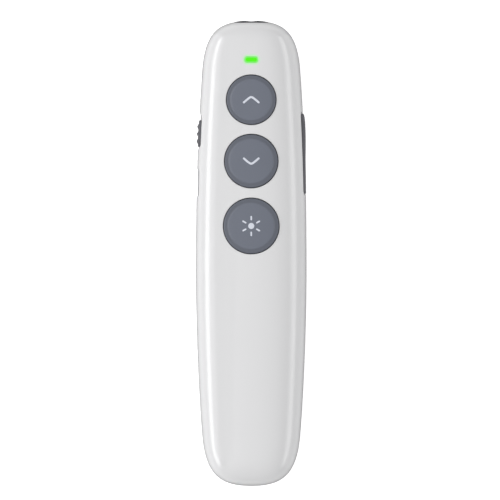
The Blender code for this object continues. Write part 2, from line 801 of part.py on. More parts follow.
def add_case_bosses(top):
    """Two long posts from the crown to the roof of the receiver's bay."""
    roof = bay_size()[2] + BAY_ROOF
    for k, y in enumerate(case_screw_places(), 1):
        low = roof + BOSS_SEAT_GAP
        high = crown_at(0.0, y) - WALL / 2
        post = cylinder(
            f"case_boss_{k}", CASE_BOSS_RADIUS, high - low, (0.0, y, (low + high) / 2), ALONG_Z, CUTTERS
        )
        tip = case_screw_base() + CASE_SCREW_LENGTH + SCREW_CLEARANCE
        pilot = cylinder(
            f"case_pilot_{k}",
            CASE_SCREW_RADIUS + SCREW_CLEARANCE,
            tip - low + OVERRUN,
            (0.0, y, (tip + low - OVERRUN) / 2),
            ALONG_Z,
            CUTTERS,
        )
        cut(join(top, post), pilot)


def case_screw_base():
    """Height of the underside of a casing screw's head, sunk into the bay's roof."""
    return bay_size()[2] + CASE_SCREW_HEAD_SINK + SCREW_HEAD_THICKNESS


def add_saddles(top, bottom):
    """A rib in each casing that holds the laser barrel between them."""
    y = SADDLE_PLACE
    floor = hull_at(y) + WALL / 2
    roof = crown_at(SADDLE_WIDTH / 2, y) - WALL / 2
    low_top = SEAM_HEIGHT - LIP_CLEARANCE
    high_low = SEAM_HEIGHT + LIP_CLEARANCE
    lower = box(
        "lower_saddle", (SADDLE_WIDTH, SADDLE_THICKNESS, low_top - floor),
        (0.0, y, (low_top + floor) / 2), CUTTERS,
    )
    upper = box(
        "upper_saddle", (SADDLE_WIDTH, SADDLE_THICKNESS, roof - high_low),
        (0.0, y, (roof + high_low) / 2), CUTTERS,
    )
    clearance = cylinder(
        "saddle_bore", BARREL_RADIUS + SADDLE_CLEARANCE, SADDLE_THICKNESS + OVERRUN,
        (0.0, y, SEAM_HEIGHT), ALONG_Y, CUTTERS, segments=ROUND_SEGMENTS,
    )
    cut(join(bottom, lower), clearance)
    cut(join(top, upper), clearance)


def add_bay(bottom):
    """The receiver's pocket: a block inside the hull, then the pocket, screw seats and nail notch."""
    width, length, depth = bay_size()
    middle = BAY_REAR + length / 2
    block = box(
        "bay_block",
        (width + 2 * BAY_WALL, length + 2 * BAY_WALL, depth + BAY_ROOF - WALL / 2),
        (0.0, middle, (depth + BAY_ROOF + WALL / 2) / 2),
        CUTTERS,
    )
    notch_length = NOTCH_REACH + NOTCH_SKIN + BAY_WALL
    notch_top = NOTCH_DEPTH + NOTCH_SKIN
    notch_block = box(
        "notch_block",
        (2 * NOTCH_RADIUS, notch_length, notch_top - WALL / 2),
        (0.0, BAY_REAR - notch_length / 2 + BAY_WALL / 2, (notch_top + WALL / 2) / 2),
        CUTTERS,
    )
    pocket_size = (width, length, depth + OVERRUN)
    pocket = box("bay_pocket", pocket_size, (0.0, middle, (depth - OVERRUN) / 2), CUTTERS)
    notch = cylinder(
        "nail_notch",
        NOTCH_REACH + SEAM_GAP,
        NOTCH_DEPTH + OVERRUN,
        (0.0, BAY_REAR, (NOTCH_DEPTH - OVERRUN) / 2),
        ALONG_Z,
        CUTTERS,
        segments=ROUND_SEGMENTS,
    )
    cut(join(bottom, block, notch_block), pocket, notch)
    for k, y in enumerate(case_screw_places(), 1):
        hole = cylinder(
            f"case_hole_{k}", CASE_SCREW_RADIUS + LIP_CLEARANCE, BAY_ROOF + OVERRUN,
            (0.0, y, depth + BAY_ROOF / 2), ALONG_Z, CUTTERS,
        )
        seat_top = case_screw_base() + SCREW_CLEARANCE
        seat = cylinder(
            f"case_seat_{k}",
            CASE_SCREW_RADIUS * SCREW_HEAD_RATIO + LIP_CLEARANCE,
            seat_top - depth + OVERRUN,
            (0.0, y, (seat_top + depth - OVERRUN) / 2),
            ALONG_Z,
            CUTTERS,
        )
        cut(bottom, hole, seat)
    magnet_seat = cylinder(
        "magnet_seat",
        MAGNET_RADIUS + SEAT_CLEARANCE,
        MAGNET_THICKNESS + SEAT_CLEARANCE + OVERRUN,
        (0.0, middle, depth + BAY_ROOF - (MAGNET_THICKNESS + SEAT_CLEARANCE - OVERRUN) / 2),
        ALONG_Z,
        CUTTERS,
        segments=ROUND_SEGMENTS,
    )
    cut(bottom, magnet_seat)


def tape_low():
    """Height of the underside of the foam tape, on the hull's floor."""
    return hull_at(BATTERY_FRONT - BATTERY_LENGTH / 2, WALL) + CONTACT_GAP


def battery_low():
    """Height of the underside of the cell, on its foam tape."""
    return tape_low() + TAPE_THICKNESS + CONTACT_GAP


def lead_height():
    """Height at which the leads leave the cell's front edge."""
    return battery_low() + BATTERY_THICKNESS / 2


def cell_board_front():
    """Front face of the protection board at the cell's front edge, where the leads start."""
    return BATTERY_FRONT + CONTACT_GAP + CELL_BOARD_THICKNESS


def add_tray(bottom):
    """Two low ribs that locate the battery's ends on the hull's floor and pass under its leads."""
    rear = BATTERY_FRONT - BATTERY_LENGTH
    top = lead_height() - WIRE_RADIUS - TRAY_GAP
    for name, y in (
        ("tray_rib_front", cell_board_front() + TRAY_GAP + TRAY_RIB_THICKNESS / 2),
        ("tray_rib_rear", rear - TRAY_GAP - TRAY_RIB_THICKNESS / 2),
    ):
        floor = hull_at(y) + WALL / 2
        size = (TRAY_RIB_WIDTH, TRAY_RIB_THICKNESS, top - floor)
        join(bottom, box(name, size, (0.0, y, (top + floor) / 2), CUTTERS))


def add_rocker_bearings(top, bottom):
    """A block in each casing with a blind hole for a trunnion of the rocker."""
    x = rocker_axis()
    low_face = SIDE_HEIGHT - ROCKER_HEIGHT / 2 - ROCKER_FLANGE_RISE - BEARING_GAP
    high_face = SIDE_HEIGHT + ROCKER_HEIGHT / 2 + ROCKER_FLANGE_RISE + BEARING_GAP
    outer = x + BEARING_SIDE / 2
    half, crown, hull = section_sizes(ROCKER_PLACE, WALL / 2)
    roof = SEAM_HEIGHT + crown * falling(outer / half, CROWN_POWER)
    flat = half * FLAT_SHARE
    floor = SEAM_HEIGHT - hull * falling((outer - flat) / (half - flat), HULL_POWER)
    upper = box(
        "upper_bearing", (BEARING_SIDE, BEARING_SIDE, roof - high_face),
        (x, ROCKER_PLACE, (roof + high_face) / 2), CUTTERS,
    )
    lower = box(
        "lower_bearing", (BEARING_SIDE, BEARING_SIDE, low_face - floor),
        (x, ROCKER_PLACE, (low_face + floor) / 2), CUTTERS,
    )
    reach = TRUNNION_LENGTH + ROCKER_HEIGHT / 2 + ROCKER_FLANGE_RISE + BEARING_GAP
    socket = cylinder(
        "trunnion_socket", TRUNNION_RADIUS + TRUNNION_CLEARANCE, 2 * reach,
        (x, ROCKER_PLACE, SIDE_HEIGHT), ALONG_Z, CUTTERS,
    )
    cut(join(top, upper), socket)
    cut(join(bottom, lower), socket)


def port_height():
    """Centre height of the charging socket, which stands on the board."""
    return BOARD_TOP + SOLDER_GAP + (PORT_HEIGHT - 2 * SOCKET_CLEARANCE) / 2


def make_bezel():
    """The smoked bezel at the nose: its face follows the body, and a ledge behind the wall holds it."""
    ledge_face = NOSE - WALL - BEZEL_LEDGE_GAP
    rear = ledge_face - BEZEL_LEDGE_THICKNESS
    depth = NOSE + OVERRUN - rear
    bezel = rounded_plate(
        "nose_bezel", BEZEL_WIDTH, BEZEL_HEIGHT, depth, BEZEL_HEIGHT / 2,
        (0.0, rear + depth / 2, SEAM_HEIGHT), ALONG_Y, PARTS, SMOKED,
    )
    face = from_mesh("bezel_face", body_mesh(-BEZEL_PROUD), CUTTERS)
    ledge = rounded_plate(
        "bezel_ledge",
        BEZEL_WIDTH + 2 * BEZEL_LEDGE,
        BEZEL_HEIGHT + 2 * BEZEL_LEDGE,
        BEZEL_LEDGE_THICKNESS,
        BEZEL_HEIGHT / 2 + BEZEL_LEDGE,
        (0.0, ledge_face - BEZEL_LEDGE_THICKNESS / 2, SEAM_HEIGHT),
        ALONG_Y,
        CUTTERS,
    )
    seat = NOSE + BEZEL_PROUD - WINDOW_SEAT_DEPTH
    aperture_length = WINDOW_SEAT_DEPTH + OVERRUN
    aperture = cylinder(
        "aperture", APERTURE_REAR_RADIUS, WINDOW_SEAT_DEPTH,
        (0.0, seat + WINDOW_SEAT_DEPTH / 2, SEAM_HEIGHT), ALONG_Y, CUTTERS,
        segments=ROUND_SEGMENTS, tip=APERTURE_FRONT_RADIUS,
    )
    through = cylinder(
        "aperture_throat", APERTURE_REAR_RADIUS, aperture_length,
        (0.0, seat + (aperture_length - OVERRUN) / 2, SEAM_HEIGHT), ALONG_Y, CUTTERS,
        segments=ROUND_SEGMENTS,
    )
    window_depth = WINDOW_THICKNESS + SEAT_CLEARANCE
    window_seat = cylinder(
        "window_seat", WINDOW_RADIUS + SEAT_CLEARANCE, window_depth + BARREL_SEAT,
        (0.0, seat - (window_depth + BARREL_SEAT) / 2, SEAM_HEIGHT), ALONG_Y, CUTTERS,
        segments=ROUND_SEGMENTS,
    )
    barrel_front = seat - window_depth
    barrel_seat = cylinder(
        "barrel_seat", BARREL_RADIUS + SEAT_CLEARANCE, barrel_front - rear + OVERRUN,
        (0.0, (barrel_front + rear - OVERRUN) / 2, SEAM_HEIGHT), ALONG_Y, CUTTERS,
        segments=ROUND_SEGMENTS,
    )
    join(keep(bezel, face), ledge)
    cut(bezel, aperture, through, window_seat, barrel_seat)
    cylinder(
        "laser_window", WINDOW_RADIUS, WINDOW_THICKNESS,
        (0.0, seat - SEAT_CLEARANCE / 2 - WINDOW_THICKNESS / 2, SEAM_HEIGHT), ALONG_Y, PARTS, CLEAR,
        segments=ROUND_SEGMENTS,
    )
    return barrel_front - SEAT_CLEARANCE


def make_laser(front):
    """The brass laser module: barrel, lens and diode, all on the body's middle line."""
    rear = front - BARREL_LENGTH
    shoulder = BARREL_LENGTH - BARREL_SHOULDER
    turned(
        "laser_barrel",
        (
            (BARREL_NOSE_BORE, BARREL_LENGTH),
            (BARREL_RADIUS, BARREL_LENGTH),
            (BARREL_RADIUS, 0.0),
            (BARREL_BORE, 0.0),
            (BARREL_BORE, shoulder),
            (BARREL_NOSE_BORE, shoulder),
            (BARREL_NOSE_BORE, BARREL_LENGTH),
        ),
        (0.0, rear, SEAM_HEIGHT), ALONG_Y, PARTS, BRASS,
    )
    dome = LENS_LENGTH / 4
    turned(
        "laser_lens",
        (
            (0.0, LENS_LENGTH),
            (LENS_RADIUS / 2, LENS_LENGTH - dome / 4),
            (LENS_RADIUS, LENS_LENGTH - dome),
            (LENS_RADIUS, 0.0),
            (0.0, 0.0),
        ),
        (0.0, front - SEAT_CLEARANCE - LENS_LENGTH, SEAM_HEIGHT), ALONG_Y, PARTS, CLEAR,
    )
    diode = turned(
        "laser_diode",
        (
            (0.0, DIODE_FLANGE_THICKNESS + DIODE_CAN_LENGTH),
            (DIODE_CAN_RADIUS, DIODE_FLANGE_THICKNESS + DIODE_CAN_LENGTH),
            (DIODE_CAN_RADIUS, DIODE_FLANGE_THICKNESS),
            (DIODE_FLANGE_RADIUS, DIODE_FLANGE_THICKNESS),
            (DIODE_FLANGE_RADIUS, 0.0),
            (0.0, 0.0),
        ),
        (0.0, rear, SEAM_HEIGHT), ALONG_Y, PARTS, STEEL,
    )
    for side in (-1, 1):
        length = DIODE_PIN_LENGTH + DIODE_FLANGE_THICKNESS / 2
        place = (side * DIODE_PIN_SPREAD, rear + DIODE_FLANGE_THICKNESS / 2 - length / 2, SEAM_HEIGHT)
        pin = cylinder(f"diode_pin_{side}", DIODE_PIN_RADIUS, length, place, ALONG_Y, CUTTERS, segments=8)
        join(diode, pin)


def make_key(key):
    """A round key: a turned cap whose top and flange follow the crown, and a stem to its switch."""
    y = KEY_PLACES[key]
    radius = KEY_HOLE_RADII[key] - KEY_CLEARANCE
    centre = crown_at(0.0, y)
    flange_top = -WALL - KEY_SEAT_GAP
    flange_low = flange_top - KEY_FLANGE_THICKNESS
    stem_low = BOARD_TOP + SWITCH_HEIGHT + PLUNGER_HEIGHT + CONTACT_GAP - centre
    rim = KEY_RIM_PROUD
    profile = (
        (0.0, rim + KEY_CENTRE_RISE),
        (radius * KEY_PLATEAU_SHARE / 2, rim + KEY_CENTRE_RISE),
        (radius * KEY_PLATEAU_SHARE, rim + KEY_CENTRE_RISE),
        (radius * KEY_SLOPE_SHARE, rim),
        (radius - KEY_EDGE_ROUND, rim),
        (radius, rim - KEY_EDGE_ROUND),
        (radius, flange_top),
        (radius + KEY_CLEARANCE + KEY_FLANGE, flange_top),
        (radius + KEY_CLEARANCE + KEY_FLANGE, flange_low),
        (radius - KEY_SKIRT, flange_low),
        (radius - KEY_SKIRT, -KEY_SKIN),
        (KEY_STEM_RADIUS, -KEY_SKIN),
        (KEY_STEM_RADIUS, stem_low),
        (0.0, stem_low),
    )
    raw = turned(f"{key}_raw", profile, (0.0, y, centre), ALONG_Z, CUTTERS, segments=KEY_SEGMENTS)
    bpy.context.view_layer.update()
    cap = meshed(raw)
    for vertex in cap.data.vertices:
        if vertex.co.z > flange_low - SEAM_GAP:
            vertex.co.z += crown_at(vertex.co.x, y + vertex.co.y) - centre
    cap = take(cap, f"{key}_button", PARTS, GREY_KEY)
    return smooth(cap)


def make_switch(key):
    """A tactile switch on the board and the plunger that its key presses."""
    y = KEY_PLACES[key]
    low = BOARD_TOP + SOLDER_GAP
    body = box(
        f"{key}_switch", (SWITCH_SIDE, SWITCH_SIDE, SWITCH_HEIGHT - SOLDER_GAP),
        (0.0, y, (low + BOARD_TOP + SWITCH_HEIGHT) / 2), PARTS, BLACK_PLASTIC, SWITCH_BEVEL,
    )
    bore_low = BOARD_TOP + SWITCH_HEIGHT - PLUNGER_DEPTH - KEY_TRAVEL - CONTACT_GAP
    bore = cylinder(
        f"{key}_switch_bore", PLUNGER_RADIUS + PLUNGER_CLEARANCE,
        BOARD_TOP + SWITCH_HEIGHT - bore_low + OVERRUN,
        (0.0, y, (BOARD_TOP + SWITCH_HEIGHT + bore_low + OVERRUN) / 2), ALONG_Z, CUTTERS,
        segments=ROUND_SEGMENTS,
    )
    cut(body, bore)
    length = PLUNGER_HEIGHT + PLUNGER_DEPTH
    cylinder(
        f"{key}_plunger", PLUNGER_RADIUS, length,
        (0.0, y, BOARD_TOP + SWITCH_HEIGHT + PLUNGER_HEIGHT - length / 2), ALONG_Z, PARTS, BLACK_PLASTIC,
        segments=ROUND_SEGMENTS,
    )


def make_light():
    """The light guide in the crown and the small lamp under it on the board."""
    top = crown_at(0.0, LIGHT_PLACE) + OVERRUN
    foot = BOARD_TOP + LED_HEIGHT + LED_GAP
    guide = rounded_plate(
        "led_light_guide", LIGHT_WIDTH, LIGHT_LENGTH, top - foot, LIGHT_ROUND,
        (0.0, LIGHT_PLACE, (top + foot) / 2), ALONG_Z, PARTS, GREEN_GLOW,
    )
    face = from_mesh("light_face", body_mesh(0.0), CUTTERS)
    reach = LIGHT_LENGTH / 2 + LIGHT_LEDGE
    ceiling = crown_at(LIGHT_WIDTH / 2 + LIGHT_LEDGE, LIGHT_PLACE + reach, WALL) - KEY_SEAT_GAP
    ledge = rounded_plate(
        "light_ledge",
        LIGHT_WIDTH + 2 * LIGHT_LEDGE,
        LIGHT_LENGTH + 2 * LIGHT_LEDGE,
        LIGHT_LEDGE_THICKNESS,
        LIGHT_ROUND + LIGHT_LEDGE,
        (0.0, LIGHT_PLACE, ceiling - LIGHT_LEDGE_THICKNESS / 2),
        ALONG_Z,
        CUTTERS,
    )
    join(keep(guide, face), ledge)
    box(
        "status_led", (LED_WIDTH, LED_LENGTH, LED_HEIGHT - SOLDER_GAP),
        (0.0, LIGHT_PLACE, BOARD_TOP + (LED_HEIGHT + SOLDER_GAP) / 2), PARTS, CREAM,
    )


def make_board():
    """The circuit board, with an ear under the charging socket and its screw holes, and its chips."""
    length = BOARD_FRONT - BOARD_REAR
    middle = (BOARD_FRONT + BOARD_REAR) / 2
    height = (BOARD_TOP + BOARD_BOTTOM) / 2
    board = rounded_plate(
        "main_board", 2 * board_half(), length, BOARD_THICKNESS, BOARD_CORNER,
        (0.0, middle, height), ALONG_Z, PARTS, BOARD_GREEN,
    )
    ear_out = side_at(PORT_PLACE + PORT_WIDTH / 2 + EAR_MARGIN, BOARD_BOTTOM, WALL) - EAR_WALL_GAP
    ear_in = board_half() - BOARD_CORNER
    ear = box(
        "board_ear",
        (ear_out - ear_in, PORT_WIDTH + 2 * EAR_MARGIN, BOARD_THICKNESS),
        (-(ear_out + ear_in) / 2, PORT_PLACE, height),
        CUTTERS,
    )
    join(board, ear)
    for k, (x, y) in enumerate(board_places(), 1):
        hole = cylinder(
            f"board_hole_{k}", BOARD_SCREW_RADIUS + LIP_CLEARANCE, BOARD_THICKNESS + OVERRUN,
            (x, y, height), ALONG_Z, CUTTERS,
        )
        cut(board, hole)
        place = (x, y, BOARD_BOTTOM - SCREW_CLEARANCE)
        screw(f"board_screw_{k}", BOARD_SCREW_RADIUS, BOARD_SCREW_LENGTH, place)
    finishes = {
        "radio_chip": BLACK_PLASTIC,
        "charge_chip": BLACK_PLASTIC,
        "crystal": STEEL,
        "chip_antenna": CERAMIC,
    }
    low = BOARD_TOP + SOLDER_GAP
    for name, (wide, long, high, setback) in MIDDLE_CHIPS.items():
        box(name, (wide, long, high), (0.0, BOARD_FRONT - setback, low + high / 2), PARTS, finishes[name])
    _, radio_length, _, radio_setback = MIDDLE_CHIPS["radio_chip"]
    row_front = BOARD_FRONT - radio_setback - radio_length / 2 - CHIP_GAP
    for name, (side, wide, long, high) in SIDE_CHIPS.items():
        x = side * (board_half() - CHIP_INSET - wide / 2)
        box(name, (wide, long, high), (x, row_front - long / 2, low + high / 2), PARTS, finishes[name])


def screw(name, radius, length, place):
    """A screw with its shank pointing up from place and its domed head below."""
    head = radius * SCREW_HEAD_RATIO
    thick = SCREW_HEAD_THICKNESS
    profile = (
        (0.0, length - SCREW_CLEARANCE),
        (radius / 2, length - SCREW_CLEARANCE),
        (radius, length - radius),
        (radius, 0.0),
        (head, 0.0),
        (head, -thick / 2),
        (head * KEY_PLATEAU_SHARE, -thick),
        (0.0, -thick),
    )
    return turned(name, profile, place, ALONG_Z, PARTS, STEEL, segments=PIN_SEGMENTS)


def make_slider():
    """The ribbed power slider, the case of its switch and the switch's lever."""
    face = knob_flange_face()
    rib_face = from_mesh("knob_face", body_mesh(-KNOB_PROUD), CUTTERS)
    knob = side_plate(
        "power_knob", -1, KNOB_PLACE, SIDE_HEIGHT, KNOB_LENGTH, KNOB_HEIGHT,
        face - KNOB_FLANGE_THICKNESS / 2, BODY_WIDTH / 2 + OVERRUN, SIDE_ROUND, PARTS, DARK_KEY,
    )
    keep(knob, rib_face)
    groove_core = from_mesh("groove_core", body_mesh(KNOB_GROOVE_DEPTH - KNOB_PROUD), CUTTERS)
    pitch = KNOB_LENGTH / KNOB_RIBS
    for k in range(1, KNOB_RIBS):
        y = KNOB_PLACE - KNOB_LENGTH / 2 + k * pitch
        groove = box(
            f"knob_groove_{k}", (2 * OVERRUN, KNOB_GROOVE_WIDTH, KNOB_HEIGHT + OVERRUN),
            (-side_at(KNOB_PLACE, SEAM_HEIGHT), y, SIDE_HEIGHT), CUTTERS,
        )
        cut(knob, cut(groove, groove_core))
    travel_flange = KNOB_TRAVEL + KNOB_FLANGE
    flange = box(
        "knob_flange",
        (KNOB_FLANGE_THICKNESS, KNOB_LENGTH + 2 * travel_flange, KNOB_HEIGHT + 2 * KNOB_FLANGE),
        (-(face - KNOB_FLANGE_THICKNESS / 2), KNOB_PLACE, SIDE_HEIGHT),
        CUTTERS,
    )
    join(knob, flange)
    fork_out = face - KNOB_FLANGE_THICKNESS / 2
    fork_in = face - KNOB_FLANGE_THICKNESS - FORK_LENGTH
    for side in (-1, 1):
        y = KNOB_PLACE + side * (LEVER_SIDE / 2 + LEVER_CLEARANCE + FORK_WIDTH / 2)
        prong = box(
            f"fork_{side}", (fork_out - fork_in, FORK_WIDTH, LEVER_SIDE),
            (-(fork_out + fork_in) / 2, y, SIDE_HEIGHT), CUTTERS,
        )
        join(knob, prong)

    case_face = fork_in - LEVER_CLEARANCE
    low = BOARD_TOP + SOLDER_GAP
    case = box(
        "power_switch_case", (SLIDE_CASE_WIDTH, SLIDE_CASE_LENGTH, SLIDE_CASE_HEIGHT),
        (-(case_face - SLIDE_CASE_WIDTH / 2), KNOB_PLACE + KNOB_TRAVEL / 2, low + SLIDE_CASE_HEIGHT / 2),
        PARTS, STEEL,
    )
    slot = box(
        "lever_slot",
        (2 * (LEVER_DEPTH + LEVER_CLEARANCE), LEVER_SIDE + KNOB_TRAVEL + 2 * LEVER_CLEARANCE,
         LEVER_SIDE + 2 * LEVER_CLEARANCE),
        (-case_face, KNOB_PLACE + KNOB_TRAVEL / 2, SIDE_HEIGHT),
        CUTTERS,
    )
    cut(case, slot)
    lever_out = face - KNOB_FLANGE_THICKNESS - LEVER_CLEARANCE
    lever_in = case_face - LEVER_DEPTH
    box(
        "power_switch_lever", (lever_out - lever_in, LEVER_SIDE, LEVER_SIDE),
        (-(lever_out + lever_in) / 2, KNOB_PLACE, SIDE_HEIGHT), PARTS, BLACK_PLASTIC,
    )


def make_rocker():
    """The volume rocker: a bar that follows the body's side, on two trunnions, and its two switches."""
    x = rocker_axis()
    flange_out = rocker_flange_face()
    flange_in = flange_out - ROCKER_FLANGE_THICKNESS
    pivot = bpy.data.objects.new("rocker_pivot", None)
    PARTS.objects.link(pivot)
    pivot.location = (x, ROCKER_PLACE, SIDE_HEIGHT)
    face = from_mesh("rocker_face", body_mesh(-ROCKER_PROUD), CUTTERS)
    bar = side_plate(
        "volume_rocker", 1, ROCKER_PLACE, SIDE_HEIGHT, ROCKER_LENGTH, ROCKER_HEIGHT,
        x, BODY_WIDTH / 2 + OVERRUN, SIDE_ROUND, PARTS, DARK_KEY,
    )
    keep(bar, face)
    flange_height = ROCKER_HEIGHT + 2 * ROCKER_FLANGE_RISE
    flange = box(
        "rocker_flange",
        (ROCKER_FLANGE_THICKNESS, ROCKER_LENGTH + 2 * ROCKER_FLANGE, flange_height),
        ((flange_out + flange_in) / 2, ROCKER_PLACE, SIDE_HEIGHT),
        CUTTERS,
    )
    trunnion = cylinder(
        "trunnions", TRUNNION_RADIUS, flange_height + 2 * TRUNNION_LENGTH,
        (x, ROCKER_PLACE, SIDE_HEIGHT), ALONG_Z, CUTTERS,
    )
    cores = [
        box(
            f"trunnion_block_{side}", (2 * TRUNNION_RADIUS, 2 * TRUNNION_RADIUS, ROCKER_FLANGE_RISE),
            (x, ROCKER_PLACE, SIDE_HEIGHT + side * (flange_height / 2 - ROCKER_FLANGE_RISE)), CUTTERS,
        )
        for side in (-1, 1)
    ]
    join(bar, flange, *cores, trunnion)
    for name, side in (("volume_up", 1), ("volume_down", -1)):
        y = ROCKER_PLACE + side * NUB_SPREAD
        nub_in = flange_in - NUB_LENGTH
        nub_out = flange_in + ROCKER_FLANGE_THICKNESS / 2
        nub = box(
            f"{name}_nub", (nub_out - nub_in, NUB_SIDE, NUB_SIDE),
            ((nub_out + nub_in) / 2, y, SIDE_HEIGHT), CUTTERS,
        )
        join(bar, nub)
        tip = nub_in - SIDE_CONTACT_GAP
        body_out = tip - SIDE_PLUNGER_STAND
        low = BOARD_TOP + SOLDER_GAP
        switch = box(
            f"{name}_switch", (SIDE_SWITCH_DEPTH, SIDE_SWITCH_LENGTH, SIDE_SWITCH_HEIGHT),
            (body_out - SIDE_SWITCH_DEPTH / 2, y, low + SIDE_SWITCH_HEIGHT / 2),
            PARTS, BLACK_PLASTIC, SWITCH_BEVEL,
        )
        depth = SIDE_PLUNGER_DEPTH + SIDE_PLUNGER_ROOM
        bore = cylinder(
            f"{name}_bore", SIDE_PLUNGER_RADIUS + PLUNGER_CLEARANCE, depth + OVERRUN,
            (body_out - (depth - OVERRUN) / 2, y, SIDE_HEIGHT), ALONG_X, CUTTERS,
        )
        cut(switch, bore)
        length = SIDE_PLUNGER_STAND + SIDE_PLUNGER_DEPTH
        cylinder(
            f"{name}_plunger", SIDE_PLUNGER_RADIUS, length,
            (tip - length / 2, y, SIDE_HEIGHT), ALONG_X, PARTS, BLACK_PLASTIC,
        )
    bpy.context.view_layer.update()
    bar.parent = pivot
    bar.matrix_parent_inverse = pivot.matrix_world.inverted()


def make_charge_socket():
    """The charging socket: a folded steel shell round a thin contact tongue."""
    width = PORT_WIDTH - 2 * SOCKET_CLEARANCE
    height = PORT_HEIGHT - 2 * SOCKET_CLEARANCE
    mouth = side_at(PORT_PLACE, port_height() + PORT_RECESS_HEIGHT / 2) - SOCKET_INSET
    rear = mouth - SOCKET_DEPTH
    z = port_height()
    shell = side_plate(
        "charge_socket_shell", -1, PORT_PLACE, z, width, height, rear, mouth, height / 2, PARTS, STEEL
    )
    inside = side_plate(
        "socket_inside", -1, PORT_PLACE, z, width - 2 * SOCKET_SHEET, height - 2 * SOCKET_SHEET,
        rear + SOCKET_SHEET, mouth + OVERRUN, height / 2, CUTTERS,
    )
    cut(shell, inside)
    box(
        "charge_socket_tongue",
        (SOCKET_DEPTH - 2 * SOCKET_INSET, TONGUE_WIDTH, TONGUE_THICKNESS),
        (-(rear + SOCKET_SHEET + SOLDER_GAP + (SOCKET_DEPTH - 2 * SOCKET_INSET) / 2), PORT_PLACE, z),
        PARTS, BLACK_PLASTIC,
    )


def make_battery():
    """The pouch cell on its foam tape, its two leads and their plug and header under the board."""
    middle = BATTERY_FRONT - BATTERY_LENGTH / 2
    box(
        "battery_tape",
        (TRAY_RIB_WIDTH, BATTERY_LENGTH - 2 * TAPE_MARGIN, TAPE_THICKNESS),
        (0.0, middle, tape_low() + TAPE_THICKNESS / 2), PARTS, FOAM,
    )
    box(
        "battery_cell", (BATTERY_WIDTH, BATTERY_LENGTH, BATTERY_THICKNESS),
        (0.0, middle, battery_low() + BATTERY_THICKNESS / 2), PARTS, FOIL, BATTERY_BEVEL,
    )
    box(
        "battery_protection_board", (CELL_BOARD_WIDTH, CELL_BOARD_THICKNESS, CELL_BOARD_HEIGHT),
        (0.0, cell_board_front() - CELL_BOARD_THICKNESS / 2, lead_height()), PARTS, BOARD_GREEN,
    )
    header_high = BOARD_BOTTOM - SOLDER_GAP
    header = box(
        "battery_header", (HEADER_WIDTH, HEADER_LENGTH, HEADER_HEIGHT),
        (0.0, HEADER_PLACE + HEADER_LENGTH / 2, header_high - HEADER_HEIGHT / 2), PARTS, CREAM,
    )
    plug_height = header_high - HEADER_HEIGHT / 2
    socket = box(
        "header_socket",
        (
            TENON_WIDTH + 2 * SEAT_CLEARANCE,
            2 * (PLUG_DEPTH + SEAT_CLEARANCE),
            PLUG_HEIGHT / 2 + 2 * SEAT_CLEARANCE,
        ),
        (0.0, HEADER_PLACE, plug_height), CUTTERS,
    )
    cut(header, socket)
    plug_front = HEADER_PLACE - SEAT_CLEARANCE
    plug = box(
        "battery_plug", (PLUG_WIDTH, PLUG_LENGTH, PLUG_HEIGHT),
        (0.0, plug_front - PLUG_LENGTH / 2, plug_height), PARTS, CREAM,
    )
    tenon = box(
        "plug_tenon",
        (TENON_WIDTH, PLUG_DEPTH + PLUG_LENGTH / 2, PLUG_HEIGHT / 2),
        (0.0, plug_front + (PLUG_DEPTH - PLUG_LENGTH / 2) / 2, plug_height), CUTTERS,
    )
    join(plug, tenon)
    for name, side, finish in (("battery_wire_red", 1, RED_LEAD), ("battery_wire_black", -1, BLACK_LEAD)):
        x = side * WIRE_SPREAD
        a = Vector((x, cell_board_front() + WIRE_END_GAP, lead_height()))
        d = Vector((x, plug_front - PLUG_LENGTH - WIRE_END_GAP, plug_height))
        pull = Vector((0.0, (d.y - a.y) / 2, 0.0))
        wire(name, a, a + pull, d - pull, d, finish)


def wire(name, a, b, c, d, finish):
    """A round lead on one Bezier stretch through a, b, c and d."""
    lead = bpy.data.curves.new(name, "CURVE")
    lead.dimensions = "3D"
    lead.bevel_depth = WIRE_RADIUS
    lead.bevel_resolution = 2
    lead.use_fill_caps = True
    spline = lead.splines.new("POLY")
    spline.points.add(WIRE_POINTS - 1)
    for i, point in enumerate(spline.points):
        t = i / (WIRE_POINTS - 1)
        s = 1.0 - t
        place = a * s**3 + b * (3 * s**2 * t) + c * (3 * s * t**2) + d * t**3
        point.co = (*place, 1.0)
    obj = bpy.data.objects.new(name, lead)
    bpy.context.scene.collection.objects.link(obj)
    return take(obj, name, PARTS, finish)


